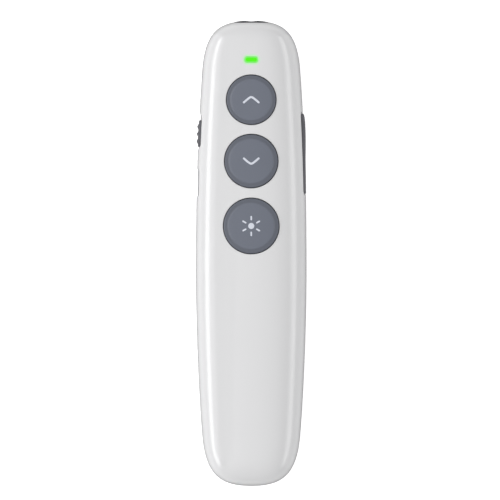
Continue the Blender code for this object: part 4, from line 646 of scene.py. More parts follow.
def way_from_line(tree, place, middle, half):
    """Distance from a line through middle: the length of max(|place - middle| - half, 0)."""
    kinds = ("SUBTRACT", "ABSOLUTE", "SUBTRACT", "MAXIMUM", "LENGTH")
    for kind, value in zip(kinds, (middle, ORIGIN, half, ORIGIN, ORIGIN)):
        place = add_node(tree, "VectorMath", {0: place, 1: value}, operation=kind)
    return place


def light_edge(tree, place):
    """Distance from the edge of the status light's window, outwards."""
    middle, _ = body_place("status_led")
    half = (LIGHT_HALVES[0] - LIGHT_HALVES[1], 0.0, LIGHT_REACH)
    way = way_from_line(tree, place, (0.0, middle[1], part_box("led_light_guide")[1][2]), half)
    return add_node(tree, "Math", {0: way, 1: LIGHT_HALVES[1]}, operation="SUBTRACT")


def painted_status_glow(tree, place, skin):
    """Thin ABS lets some of the status light through, painted in as a glow: the skin's colour turns green and
    glows for a millimetre round it.
    """
    # painted glow: a share that falls from 0.42 at the window's edge to 0 a millimetre out; it tints the skin
    # green and makes it glow
    painted_glow_share = add_node(tree, "MapRange", {
        "Value": light_edge(tree, place), "From Min": -0.1 * MM, "From Max": 0.9 * MM, "To Min": 0.42,
        "To Max": 0.0,
    }, interpolation_type="SMOOTHSTEP")
    skin = add_node(tree, "Mix", {"Factor": painted_glow_share, "A": skin, "B": tone("green")}, data_type="RGBA")
    glow = add_node(tree, "Math", {0: painted_glow_share, 1: 0.3}, operation="MULTIPLY")
    return {"Base Color": skin, "Emission Color": tone("green"), "Emission Strength": glow}


def painted_rim_shade(tree, place, skin):
    """A key's rim, whose place the mesh's rim attribute holds, gets painted shade: its slate is darkened
    there.
    """
    rim = add_node(tree, "Attribute", attribute_name="rim").outputs["Fac"]
    # painted shade: the rim's slate darkened to 0.74 of itself
    dark = [0.74 * c for c in tone("slate")]
    return {"Base Color": add_node(tree, "Mix", {"Factor": rim, "A": skin, "B": dark}, data_type="RGBA")}


# Plastics, and what is moulded or printed like them: colour, roughness, size and depth of the grain in
# millimetres, and the share by which the tone clouds.
PLASTICS = {
    # ABS, gloss moulded: bright, with soft clear highlights and a faint orange peel of 2 mm waves.
    "gloss_moulded_white_abs": ("white", 0.20, 2.0, 0.0010, 0.006),
    # ABS, spark-eroded mould: a satin slate grey whose fine grain spreads the highlight.
    "satin_moulded_slate_abs": ("slate", 0.46, 0.16, 0.0040, 0.03),
    # Thermoplastic rubber, moulded: dark grey, nearly matt, with a fine dry grain.
    "moulded_charcoal_rubber": ("charcoal", 0.58, 0.20, 0.0050, 0.03),
    # ABS, moulded: the mid grey plate round the charging socket, satin, with a fine dry grain.
    "satin_moulded_grey_abs": ("#B0B0B3", 0.50, 0.20, 0.0040, 0.03),
    # Pad-printed ink: pale, dry, a little uneven in cover at a 0.3 mm scale.
    "pad_printed_pale_ink": ("ink", 0.55, 0.30, 0.0020, 0.02),
    # Acrylic, gloss moulded and smoked: near black, with a sharp shine.
    "gloss_moulded_smoked_acrylic": ("smoke", 0.12, 1.6, 0.0008, 0.01),
    # Glass-filled nylon, moulded: black, half matt, with a dry 0.25 mm grain.
    "moulded_black_nylon": ("#17181A", 0.48, 0.25, 0.0040, 0.06),
    # Nylon, moulded and undyed: creamy, with a soft shine.
    "moulded_cream_nylon": ("#E6DEC8", 0.42, 0.30, 0.0030, 0.03),
    # Silicone rubber, extruded: an even colour with a soft bloom.
    "extruded_red_silicone": ("#B3231D", 0.55, 0.40, 0.0020, 0.04),
    "extruded_black_silicone": ("#1B1B1D", 0.55, 0.40, 0.0020, 0.04),
    # Alumina ceramic, fired: pale blue grey, matt, speckled at 0.2 mm.
    "fired_pale_ceramic": ("#C3CBD0", 0.60, 0.20, 0.0030, 0.08),
}
# Extras that paint light: the status light's painted glow on the white, and painted shade on the keys' rims.
EXTRAS = {"gloss_moulded_white_abs": painted_status_glow, "satin_moulded_slate_abs": painted_rim_shade}

# Metals: colour, roughness, size of the tool's marks in millimetres, how many times longer than that they
# are along X, Y and Z, and their depth in millimetres.
METALS = {
    # Brass, turned: warm yellow, with rings from the tool across its length, drawn 0.15 mm apart.
    "turned_brass": ("#D2AE6B", 0.26, 0.15, (20.0, 1.0, 20.0), 0.0020),
    # Steel sheet, stamped and nickel plated: pale grey, half bright, with faint long rolling marks.
    "nickel_plated_stamped_steel": ("#C3C4C6", 0.24, 0.10, (1.0, 14.0, 1.0), 0.0006),
    # Copper alloy, stamped and gold flashed: small warm bright contacts.
    "gold_flashed_contacts": ("#E0BE74", 0.20, 0.08, (1.0, 10.0, 1.0), 0.0005),
    # Steel, cold headed and zinc plated: cool grey, a little darker than the nickel.
    "zinc_plated_steel": ("#A9ABAF", 0.32, 0.12, (3.0, 3.0, 3.0), 0.0010),
    # Aluminium laminate, pressed round the cell: silver, soft shine, with shallow creases 2 to 4 mm long.
    "pressed_aluminium_laminate": ("#CDCFD1", 0.34, 2.2, (1.0, 1.8, 1.0), 0.0400),
}


def moulded_plastic(name):
    """A plastic of the table: an even colour that clouds a little, and the tool's fine grain.

    Two noises: one of 9 mm that shifts the colour by a few per cent, and one of the grain's own size that
    lifts the skin by its depth and spreads the roughness."""
    colour, roughness, grain_mm, depth, cloudy = PLASTICS[name]
    made, tree, place = new_material(name)
    cloud = add_node(tree, "TexNoise", {"Vector": place, "Scale": 1 / (9 * MM), "Detail": 3.0})
    grain = add_node(tree, "TexNoise", {"Vector": place, "Scale": 1 / (grain_mm * MM), "Detail": 4.0})
    dark, pale = ([c * (1 + k * cloudy) for c in tone(colour)] for k in (-1, 1))
    skin = add_node(tree, "Mix", {"Factor": cloud, "A": dark, "B": pale}, data_type="RGBA")
    gloss = add_node(tree, "MapRange", {
        "Value": grain, "From Min": 0.3, "From Max": 0.7, "To Min": roughness * 0.82,
        "To Max": roughness * 1.18,
    })
    bump = add_node(tree, "Bump", {"Height": grain, "Strength": 1.0, "Distance": depth * MM})
    inputs = {"Base Color": skin, "Roughness": gloss, "Normal": bump}
    if name in EXTRAS:
        inputs.update(EXTRAS[name](tree, place, skin))
    return finish_with(made, tree, inputs)


def worked_metal(name):
    """A metal of the table: noise drawn out along the tool's way marks its gloss and its skin."""
    colour, roughness, mark_mm, stretch, depth = METALS[name]
    made, tree, place = new_material(name)
    marks = add_node(tree, "Mapping", {"Vector": place, "Scale": [1 / (mark_mm * MM * k) for k in stretch]})
    noise = add_node(tree, "TexNoise", {"Vector": marks, "Scale": 1.0, "Detail": 3.0})
    stain = add_node(tree, "TexNoise", {"Vector": place, "Scale": 1 / (4 * MM), "Detail": 2.0})
    dark, pale = ([c * k for c in tone(colour)] for k in (0.93, 1.04))
    skin = add_node(tree, "Mix", {"Factor": stain, "A": dark, "B": pale}, data_type="RGBA")
    gloss = add_node(tree, "MapRange", {
        "Value": noise, "From Min": 0.3, "From Max": 0.7, "To Min": roughness * 0.75,
        "To Max": roughness * 1.3,
    })
    bump = add_node(tree, "Bump", {"Height": noise, "Strength": 1.0, "Distance": depth * MM})
    return finish_with(made, tree, {"Base Color": skin, "Metallic": 1.0, "Roughness": gloss, "Normal": bump})


def clear_acrylic():
    """Acrylic, cast and polished: water clear, with a hard shine and a trace of haze."""
    made, tree, place = new_material("polished_clear_acrylic")
    haze = add_node(tree, "TexNoise", {"Vector": place, "Scale": 1 / (1.5 * MM), "Detail": 2.0})
    gloss = add_node(tree, "MapRange", {"Value": haze, "To Min": 0.01, "To Max": 0.05})
    return finish_with(made, tree, {
        "Base Color": (0.94, 0.96, 0.97), "Roughness": gloss, "IOR": 1.49, "Transmission Weight": 1.0,
    })


def lit_green():
    """Acrylic, moulded milky and lit green from below: it glows evenly, and fades over its last 0.5 mm."""
    made, tree, place = new_material("lit_green_acrylic")
    fade = add_node(tree, "MapRange", {
        "Value": light_edge(tree, place), "From Min": -0.5 * MM, "From Max": 0.05 * MM,
    }, interpolation_type="SMOOTHSTEP")
    lit, milky = [0.12 * c for c in tone("green")], (0.30, 0.42, 0.28)
    skin = add_node(tree, "Mix", {"Factor": fade, "A": lit, "B": milky}, data_type="RGBA")
    glow = add_node(tree, "Mix", {"Factor": fade, "A": 0.87, "B": 0.50}, data_type="FLOAT")
    return finish_with(made, tree, {
        "Base Color": skin, "Emission Color": tone("green"), "Emission Strength": glow, "Roughness": 0.6,
        "Specular IOR Level": 0.1,
    })


def foam_tape():
    """Polyethylene foam, cut: off-white and matt, with open cells of 0.3 mm."""
    made, tree, place = new_material("cut_polyethylene_foam")
    cells = add_node(tree, "TexVoronoi", {"Vector": place, "Scale": 1 / (0.3 * MM)})
    skin = add_node(
        tree, "Mix", {"Factor": cells, "A": tone("#D3D1C9"), "B": tone("#EAE8E1")}, data_type="RGBA"
    )
    bump = add_node(tree, "Bump", {"Height": cells, "Strength": 1.0, "Distance": 0.08 * MM})
    return finish_with(made, tree, {"Base Color": skin, "Roughness": 0.92, "Normal": bump})


def solder_mask():
    """Glass-epoxy board under green solder mask: tracks 0.2 mm wide show paler through the mask."""
    made, tree, place = new_material("solder_masked_glass_epoxy")
    tracks = add_node(tree, "TexBrick", {
        "Vector": place, "Scale": 1 / MM, "Mortar Size": 0.10, "Mortar Smooth": 0.3, "Brick Width": 3.7,
        "Row Height": 1.1, "Color1": ORIGIN, "Color2": ORIGIN, "Mortar": WHITE,
    }, offset=0.37, squash=0.6, squash_frequency=3)
    weave = add_node(tree, "TexNoise", {"Vector": place, "Scale": 1 / (0.4 * MM), "Detail": 2.0})
    dark, pale = ([c * k for c in tone("board")] for k in (0.8, 1.9))
    skin = add_node(tree, "Mix", {"Factor": tracks, "A": dark, "B": pale}, data_type="RGBA")
    gloss = add_node(tree, "MapRange", {"Value": weave, "To Min": 0.22, "To Max": 0.40})
    bump = add_node(tree, "Bump", {"Height": tracks, "Strength": 1.0, "Distance": 0.03 * MM})
    return finish_with(made, tree, {"Base Color": skin, "Roughness": gloss, "Normal": bump})


def box_corners(node):
    """Lowest and highest corner of a CAD node, as arrays."""
    return [np.array(corner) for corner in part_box(node)]


def body_place(node):
    """Middle, and half of the size, of a CAD node."""
    low, high = box_corners(node)
    return (low + high) / 2, (high - low) / 2


def casing_form():
    """The casing's form, from the sizes in the panel."""
    return CasingForm(bpy.context.scene.pointer_casing)


def key_place(key):
    """Place of a key along the casing, and the radius of its hole, from its CAD flange."""
    middle, half = body_place(f"{key}_button")
    return middle[1], half[0] - KEY_FLANGE


def add_forms(obj, forms):
    """Adds closed forms to obj's mesh, which they overlap."""
    other = mesh_object(f"{obj.name}_inside", forms)
    work = bmesh.new()
    work.from_mesh(obj.data)
    work.from_mesh(other.data)
    work.to_mesh(obj.data)
    work.free()
    bpy.data.objects.remove(other)


def control_places():
    """Places (y, z) of the slider, the rocker and the charging socket, from their CAD nodes."""
    knob, rocker, port = (body_place(node)[0] for node in SIDE_NODES)
    return (knob[1], knob[2]), (rocker[1], knob[2]), (port[1], port[2])


def thumb_dish(form):
    """Cutter for the shallow dish round the slider, which lets a thumb nail reach its ribs.

    Its depth is DISH_DEPTH * (1 - s^2), s running from 0 at its floor's edge to 1 at its rim."""
    y, z = control_places()[0]
    rows = [(0.65 * MM * (s - 1), -DISH_DEPTH * (1 - s**2)) for s in np.linspace(0.0, 1.0, 7)]
    rows += [(0.1 * MM, 0.15 * MM), (0.1 * MM, form.size.width / 2 + CLEAR, True)]
    place = (y + SLOT_AHEAD, z - 1 * MM)
    return shaft(form, "left", place, (5.1 * MM, 4.3 * MM), 2.2 * MM, rows, caps=(8, 0))


def socket_flat(form):
    """Middle and half-sizes of the flat round the charging socket, and its plane.

    The plane meets the casing's skin at the flat's upper and lower ends."""
    y, z = control_places()[2]
    low, high = z - 4.2 * MM, z + 3.2 * MM
    near, far = (float(form.side(y, height)) for height in (high, low))

    def flat(a, b):
        """Distance from the middle plane: it changes evenly with the height b."""
        return (near + far) / 2 + (near - far) * b / (high - low)

    return (y, (low + high) / 2), (3.8 * MM, (high - low) / 2), flat


def side_openings(form):
    """Cutters for the slider's slot, the rocker's slot, the charging socket's hole and the nose, and
    one for the recess round the socket, which overlaps the hole."""
    knob, rocker, port = control_places()
    outside, tip = form.size.width / 2 + CLEAR, form.middle + form.size.length / 2
    slider_slot = opening(
        form, "left", (knob[0] + SLOT_AHEAD, knob[1]), (4.7 * MM, 2.2 * MM), 1.1 * MM, 11.5 * MM, outside,
        128, sunk=DISH_DEPTH,
    )
    rocker_slot = opening(
        form, "right", rocker, (11.4 * MM, 2.4 * MM), 1.1 * MM, 10.8 * MM, outside, edge=0.6 * MM
    )
    floor = float(form.side(port[0], port[1] + 2.0 * MM)) - 0.25 * MM
    rows = [(grow * MM, height, True) for grow, height in (
        (0.0, 8.1 * MM), (0.0, floor - 0.1 * MM), (0.03, floor - 0.03 * MM), (0.1, floor),
        (0.3, floor + 0.6 * MM),
    )]
    hole = shaft(form, "left", port, PORT_HOLE, PORT_HOLE[1], rows)
    place, halves, flat = socket_flat(form)
    edge = 0.2 * MM
    rows = [
        (edge * (math.sin(t) - 1), lifted(flat, -0.25 * MM + edge * (1 - math.cos(t))), True)
        for t in np.linspace(0.0, math.pi / 2, 5)
    ]
    rows += [(0.05 * MM, lifted(flat, 0.9 * MM), True), (0.1 * MM, outside, True)]
    recess = shaft(form, "left", place, halves, FLAT_CORNER, rows)
    nose = opening(
        form, "nose", (0.0, form.size.seam), (4.95 * MM, 3.85 * MM), 2.95 * MM, tip - 5 * MM,
        tip + 3 * MM, 192,
    )
    return [slider_slot, rocker_slot, hole, nose], recess


def bay_place():
    """Middle (x, y), half-widths and depth of the receiver's bay, a clearance round its CAD nodes."""
    grip_low, grip_high = box_corners("receiver_grip")
    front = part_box("receiver_plug_shell")[1][1]
    gap = 0.3 * MM
    halves = (grip_high[0] + gap, (front - grip_low[1]) / 2 + gap)
    return (0.0, (grip_low[1] + front) / 2), halves, grip_high[2] + gap


def bay_blocks(form):
    """Solid blocks inside the hull that the bay and its nail notch are cut from."""
    middle, halves, depth = bay_place()
    wall, floor = 1.2 * MM, form.size.wall / 2
    rear = middle[1] - halves[1]
    return [
        block(
            span(0.0, halves[0] + wall), span(middle[1], halves[1] + wall), (floor, depth + 2.4 * MM),
            0.4 * MM,
        ),
        block(span(0.0, 4.5 * MM), (rear - 4.8 * MM, rear + 0.6 * MM), (floor, 2.8 * MM), 0.3 * MM),
    ]


def bay_cutters(form):
    """Cutter for the bay with rounded edges, and those for its two screw seats and its nail notch."""
    middle, halves, depth = bay_place()
    edge, below = 0.25 * MM, -2.0 * MM
    roof = np.radians((90.0, 60.0, 30.0, 0.0))
    rim = np.radians((0.0, 25.0, 50.0, 70.0))
    rows = [(edge * (math.cos(t) - 1), depth - edge * (1 - math.sin(t)), True) for t in roof]
    rows += [(edge * (1 - math.cos(t)), edge * (1 - math.sin(t)), True) for t in rim]
    rows += [(3.0 * edge, -0.8 * edge, True), (3.0 * edge, below, True)]
    pocket = shaft(form, "under", middle, halves, 0.6 * MM, rows)
    reach, deep = 3.05 * MM, 1.6 * MM
    scoop = [(out * reach, down * deep) for out, down in (
        (0.0, 1.0), (0.35, 0.985), (0.62, 0.90), (0.82, 0.70), (0.94, 0.42), (1.0, 0.12)
    )]
    scoop += [(reach + 0.1 * MM, 0.0), (reach + 0.6 * MM, -0.6 * MM), (0.0, below)]
    seats = []
    for name in CASE_SCREWS:
        place, half = body_place(name)
        head, seat, hole, under = half[0] + 0.1 * MM, 7.75 * MM, 1.1 * MM, depth - 0.1 * MM
        seats.append(lathe((0.0, place[1], 0.0), [
            (0.0, depth + 3 * MM), (hole, depth + 3 * MM), (hole, seat), (head, seat), (head, depth),
            (head + 0.1 * MM, under), (0.0, under),
        ]))
    return pocket, [*seats, lathe((0.0, middle[1] - halves[1], 0.0), scoop)]


def post(x, y, radius, low, high, pilot, tip):
    """A moulded post with a blind pilot hole in its lower end, as one turned solid."""
    return lathe((x, y, 0.0), [
        (0.0, tip), (0.9 * pilot, tip), (pilot, tip - 0.1 * MM), (pilot, low + 0.15 * MM),
        (pilot + 0.15 * MM, low), (radius - 0.1 * MM, low), (radius, low + 0.1 * MM),
        (radius * 1.03, high), (0.0, high),
    ], count=40)


def saddle(form, y, half_width, low, high):
    """A rib with a half-round seat: rings of a bar's section carried round the seat's half circle."""
    bore = 3.35 * MM
    upper = low > form.size.seam - 0.2 * MM
    turn = np.linspace(0.0, math.pi, 25)[:, None]
    direction = np.hstack((np.cos(turn), np.sin(turn)))
    reach = np.minimum(
        half_width / np.maximum(np.abs(direction[:, 0]), 1e-6),
        (high - low) / np.maximum(direction[:, 1], 1e-6),
    )[:, None]
    inner, outer = direction * bore, direction * reach
    section = np.stack((inner, outer, outer, inner), axis=1)
    depth = np.array((-0.6, -0.6, 0.6, 0.6)) * MM
    base, flip = (low, 1.0) if upper else (high, -1.0)
    return ring_solid(np.stack((
        section[..., 0], np.broadcast_to(y + depth, section.shape[:2]), base + flip * section[..., 1]
    ), axis=-1))


def bearing(place, face, far, bottom):
    """A square block with a blind round socket for a trunnion, as rings between a circle and a square."""
    angle = np.linspace(0.0, 2 * math.pi, 48, endpoint=False)
    circle = np.column_stack((np.cos(angle), np.sin(angle)))
    square = circle / np.abs(circle).max(axis=1)[:, None]
    rows = [(circle * 0.01 * MM, bottom), (circle * 0.75 * MM, bottom), (circle * 0.75 * MM, face),
            (square * 1.3 * MM, face), (square * 1.3 * MM, far)]
    return ring_solid([np.column_stack((xy + place, np.full(len(xy), z))) for xy, z in rows])


def rocker_pivot():
    """Axis of the rocker, from the record's joint."""
    return next(joint for joint in frame["joints"] if joint["name"] == "volume_rock")["pos_m"]


def laser_seat(form):
    """Place along Y of the two saddles that hold the laser's barrel."""
    return form.middle + form.size.length / 2 - 6.7 * MM


def top_posts(form):
    """Screw posts, the rocker's bearing and the laser's saddle, which hang from the crown."""
    board_top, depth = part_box("main_board")[1][2], bay_place()[2]
    made = []
    for names, radius, low, pilot in (
        (BOARD_SCREWS, 1.5 * MM, board_top + 0.05 * MM, 0.85 * MM),
        (CASE_SCREWS, 2.4 * MM, depth + 2.45 * MM, 1.05 * MM),
    ):
        for name in names:
            x, y, _ = body_place(name)[0]
            made.append(post(x, y, radius, low, form.roof(x, y), pilot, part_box(name)[1][2] + 0.1 * MM))
    seat, half = laser_seat(form), 4.5 * MM
    made.append(saddle(form, seat, half, form.size.seam + 0.1 * MM, form.roof(half, seat)))
    x, y, z = rocker_pivot()
    made.append(bearing((x, y), z + BEARING_FACE, form.roof(x + 1.3 * MM, y), z + BEARING_BOTTOM))
    return made


def bottom_ribs(form):
    """The laser's lower saddle, the battery's two ribs and the rocker's lower bearing."""
    half_wall, seat = form.size.wall / 2, laser_seat(form)
    made = [saddle(form, seat, 4.5 * MM, float(form.under(0.0, seat)) + half_wall, form.size.seam - 0.1 * MM)]
    front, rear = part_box("battery_protection_board")[1][1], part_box("battery_cell")[0][1]
    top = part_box("battery_wire_red")[0][2] - 0.3 * MM
    for y in (front + 0.8 * MM, rear - 0.8 * MM):
        low = float(form.under(0.0, y)) + half_wall
        made.append(block(span(0.0, 6.5 * MM), span(y, 0.5 * MM), (low, top), 0.15 * MM))
    x, y, z = rocker_pivot()
    floor = float(form.under(x + 1.3 * MM, y, half_wall))
    made.append(bearing((x, y), z - BEARING_FACE, floor, z - BEARING_BOTTOM))
    return made


class POINTER_OT_casings(Operator):
    """Build the two white casings with their openings"""

    bl_idname = "pointer.casings"
    bl_label = "White casings"

    def execute(self, context):
        form = casing_form()
        size = form.size
        white = moulded_plastic("gloss_moulded_white_abs")
        top = mesh_object("upper_casing", [half_rings(form, True)])
        bottom = mesh_object("lower_casing", [half_rings(form, False)])
        step, foot, lip = size.wall - size.lip_wall, size.seam - 3 * MM, size.seam + size.lip
        carve(bottom, [band(form, step, foot, lip)], "UNION")
        inside = hollow(form)
        for shell in (top, bottom):
            carve(shell, [inside])
        carve(top, [band(form, step - 0.1 * MM, foot, lip + 0.1 * MM)])
        low, high = size.seam + 3.5 * MM, size.seam + size.crown + CLEAR
        holes = []
        for key in KEYS:
            y, radius = key_place(key)
            holes.append(opening(form, "top", (0.0, y), (radius, radius), radius, low, high, 128))
        light = body_place("status_led")[0][1]
        holes.append(opening(form, "top", (0.0, light), LIGHT_HALVES, 0.7 * MM, low, high))
        sides, recess = side_openings(form)
        for shell in (top, bottom):
            carve(shell, [thumb_dish(form), recess])
        carve(top, holes + sides)
        for one in bay_blocks(form):
            carve(bottom, [one], "UNION")
        pocket, seats = bay_cutters(form)
        carve(bottom, [*sides, pocket])
        carve(bottom, seats)
        add_forms(top, top_posts(form))
        add_forms(bottom, bottom_ribs(form))
        dress(top, white, "casing", "casing_white", "top_shell")
        dress(bottom, white, "casing", "casing_white", "bottom_shell")
        return {"FINISHED"}


def key_cap(form, sizes, key):
    """One round key: a plateau that follows the crown, a smooth step down to a rim, flange and stem.

    The step falls by rise * (3 s^2 - 2 s^3) as s runs from the plateau's edge to the rim."""
    y, hole = key_place(key)
    radius = hole - sizes.key_gap
    rim, rise = sizes.rim_proud, sizes.pad_rise
    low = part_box(f"{key}_button")[0][2]
    step = np.linspace(0.0, 1.0, 11)
    reach = radius * (PAD_SHARE + STEP_SHARE * step) - radius
    rows = list(zip(reach, rim + rise * (1 - smooth_step(step))))
    rows += [(-0.06 * radius, rim)] + rounded_edge(0.25 * MM, rim, 8)
    under = -form.size.wall - 0.3 * MM
    foot, out, stem = under - 0.8 * MM, sizes.key_gap + KEY_FLANGE, 1.9 * MM - radius
    rows += [
        (0.0, under), (out - 0.1 * MM, under), (out, under - 0.1 * MM), (out, foot + 0.1 * MM),
        (out - 0.1 * MM, foot), (-1.2 * MM, foot), (-1.2 * MM, -1.2 * MM), (-1.4 * MM, -1.0 * MM),
        (stem + 0.2 * MM, -1.0 * MM), (stem, -1.2 * MM), (stem, low + 0.2 * MM, True),
        (stem - 0.2 * MM, low, True),
    ]
    return shaft(form, "top", (0.0, y), (radius, radius), radius, rows, 160, caps=(16, 4))


def mark_painted_rim_shade(cap, key, sizes):
    """Stores 3 s^2 - 2 s^3 at each point, s running from the pad's edge to the rim, as in the shape: the
    share of the rim's painted shade.
    """
    y, hole = key_place(key)
    place = np.empty(len(cap.data.vertices) * 3)
    cap.data.vertices.foreach_get("co", place)
    x, along, _ = place.reshape(-1, 3).T
    share = np.hypot(x, along - y) / (hole - sizes.key_gap)
    step = np.clip((share - PAD_SHARE) / STEP_SHARE, 0.0, 1.0)
    cap.data.attributes.new("rim", "FLOAT", "POINT").data.foreach_set("value", smooth_step(step))


def ribbon(form, path, width, low, high):
    """A printed line on the crown: a thin flat section carried along a path in plan, with round ends.

    Past each end the half-width follows sqrt(h^2 - s^2), s being the distance past it."""
    half = width / 2
    way = np.gradient(path, axis=0)
    way /= np.linalg.norm(way, axis=1)[:, None]
    turn = np.radians((80.0, 65.0, 50.0, 35.0, 18.0))[:, None]
    front = path[0] - half * np.sin(turn) * way[0]
    back = path[-1] + half * np.sin(turn[::-1]) * way[-1]
    place = np.vstack((front, path, back))
    way = np.vstack((np.repeat(way[:1], 5, axis=0), way, np.repeat(way[-1:], 5, axis=0)))
    wide = np.concatenate((np.cos(turn[:, 0]), np.ones(len(path)), np.cos(turn[::-1, 0]))) * half
    across = wide[:, None] * (1.0, 1.0, 0.93, 0.0, -0.93, -1.0, -1.0)
    height = np.array((low, high - 0.01 * MM, high, high, high, high - 0.01 * MM, low))
    x = place[:, :1] - across * way[:, 1:]
    y = place[:, 1:] + across * way[:, :1]
    return ring_solid(np.stack((x, y, form.top(x, y) + height), axis=-1))


def symbol_forms(form, sizes, key):
    """The printed symbol of a key: an arrowhead up or down, or a sun of a dot and six rays.

    The arrowhead is y = apex - (sqrt((m x)^2 + r^2) - r), a V whose point has the radius r / m^2."""
    y, _ = key_place(key)
    high = sizes.rim_proud + sizes.pad_rise + sizes.print_height
    low = high - 0.06 * MM
    if key != "laser":
        wide, tall, bend = 2.05 * MM, 1.45 * MM, 0.45 * MM
        slope = math.sqrt((tall + bend) ** 2 - bend**2) / wide
        x = np.linspace(-wide, wide, 61)
        v = tall / 2 - (np.sqrt((slope * x) ** 2 + bend**2) - bend)
        way = 1.0 if key == "page_up" else -1.0
        return [ribbon(form, np.column_stack((x, y + way * v)), sizes.stroke, low, high)]
    spot = 0.85 * MM
    rows = [(-0.04 * MM, high), (0.0, high - 0.02 * MM), (0.0, low)]
    made = [shaft(form, "top", (0.0, y), (spot, spot), spot, rows, 64, caps=(4, 0))]
    for angle in np.radians((30, 90, 150, 210, 270, 330)):
        ray = np.linspace(1.8 * MM, 2.6 * MM, 9)[:, None] * (math.cos(angle), math.sin(angle))
        made.append(ribbon(form, ray + (0.0, y), 0.78 * sizes.stroke, low, high))
    return made


class POINTER_OT_keys(Operator):
    """Build the three round keys with their printed symbols"""

    bl_idname = "pointer.keys"
    bl_label = "Round keys"

    def execute(self, context):
        form, sizes = casing_form(), context.scene.pointer_controls
        slate, ink = (moulded_plastic(name) for name in ("satin_moulded_slate_abs", "pad_printed_pale_ink"))
        for key in KEYS:
            cap = mesh_object(f"{key}_cap", [key_cap(form, sizes, key)])
            mark_painted_rim_shade(cap, key, sizes)
            dress(cap, slate, f"{key}_key", "key_grey", f"{key}_button")
            piece(f"{key}_symbol", symbol_forms(form, sizes, key), ink, f"{key}_key", "casing_white")
        return {"FINISHED"}


class POINTER_OT_light(Operator):
    """Build the lit green status window"""

    bl_idname = "pointer.light"
    bl_label = "Status light"

    def execute(self, context):
        form = casing_form()
        place, half = body_place("led_light_guide")
        low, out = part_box("led_light_guide")[0][2], 0.7 * MM
        ledge = form.top(half[0], place[1] + half[1], form.size.wall) - 0.3 * MM
        rows = rounded_edge(0.08 * MM, 0.0, 4) + [(grow, height, True) for grow, height in (
            (0.0, ledge), (out - 0.1 * MM, ledge), (out, ledge - 0.1 * MM), (out, ledge - 0.8 * MM),
            (0.0, ledge - 0.8 * MM), (0.0, low),
        )]
        halves = (half[0] - out, half[1] - out)
        guide = shaft(form, "top", (0.0, place[1]), halves, 0.6 * MM, rows, 64, step=0.2 * MM, caps=(5, 0))
        piece("status_light_guide", [guide], lit_green(), "casing", "light_guide", "led_light_guide")
        return {"FINISHED"}


def bezel_form(form):
    """The smoked bezel, as one closed loop of rings: aperture cone, face, edge, ledge, back and seats.

    Face rings run from the aperture's circle to the stadium outline by a straight blend of the two. The
    face stands proud by 0.06 mm * (1 - |x/4.9 mm|^2.5)^(1/2.5), less a shallow upright groove of
    0.1 mm * exp(-(x/1.2 mm)^2)."""
    middle = form.size.seam
    rear, tip = (corner[1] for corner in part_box("nose_bezel"))
    seat = tip - 1.6 * MM
    window = seat - 2 * body_place("laser_window")[1][1] - 0.1 * MM
    outline, out = rounded_outline(4.8 * MM, 3.7 * MM, 2.8 * MM, 128, 0.3 * MM)
    unit = outline / np.linalg.norm(outline, axis=1)[:, None]

    def face(place, back=0.0):
        """Points on the nose's skin, proud by the arch less the groove, and set back."""
        x, z = place.T
        proud = 0.06 * MM * falling(x / (4.9 * MM), 2.5) - 0.10 * MM * np.exp(-((x / (1.2 * MM)) ** 2))
        return np.column_stack((x, form.nose(x, middle + z) + proud - back, middle + z))

    def flat(place, y):
        """Points in an upright plane at y."""
        return np.column_stack((place[:, 0], np.full(len(place), y), middle + place[:, 1]))

    mouth, soft, round_off = 1.55 * MM, 0.45 * MM, 0.12 * MM
    turn = np.radians((0.0, 25.0, 45.0, 60.0, 75.0))
    rings = [face(unit * (mouth + soft * (1 - math.cos(t))), soft * (1 - math.sin(t))) for t in turn]
    start, stop = unit * (mouth + soft), outline - round_off * out
    rings += [face(start + share * (stop - start)) for share in np.linspace(0.0, 1.0, 12)]
    rings += [
        face(outline + round_off * (math.sin(t) - 1) * out, round_off * (1 - math.cos(t)))
        for t in np.linspace(0.0, math.pi / 2, 6)[1:]
    ]
    ledge, wide, bevel = rear + 0.8 * MM, outline + 0.9 * MM * out, 0.1 * MM
    rings += [
        flat(outline, ledge), flat(wide - bevel * out, ledge), flat(wide, ledge - bevel),
        flat(wide, rear + bevel), flat(wide - bevel * out, rear),
    ]
    for radius, y in ((3.35, rear), (3.35, window), (2.5, window), (2.5, seat), (1.1, seat)):
        rings.append(flat(unit * radius * MM, y))
    return ring_solid(rings, looped=True)


def barrel_form():
    """The laser's barrel: a turned tube with a shoulder inside and two grip grooves, as one closed loop."""
    place, half = body_place("laser_barrel")
    long, radius, bevel, groove = 2 * half[1], half[0], 0.15 * MM, 0.12 * MM
    shoulder, bore, throat = long - 3.0 * MM, 2.9 * MM, 1.7 * MM
    grooves = [
        (radius - down * groove, (start + along) * MM)
        for start in (2.2, 3.4) for along, down in ((0.0, 0), (0.1, 1), (0.4, 1), (0.5, 0))
    ]
    profile = np.array([
        (bore, 0.0), (radius - bevel, 0.0), (radius, bevel), *grooves, (radius, long - bevel),
        (radius - bevel, long), (throat + bevel, long), (throat, long - bevel), (throat, shoulder),
        (bore, shoulder),
    ])
    angle = np.linspace(0.0, 2 * math.pi, 96, endpoint=False)
    r, y = profile[:, :1], profile[:, 1:]
    rings = np.stack((r * np.cos(angle), y - half[1] + 0 * angle, r * np.sin(angle)), axis=-1)
    return ring_solid(rings + place, looped=True)


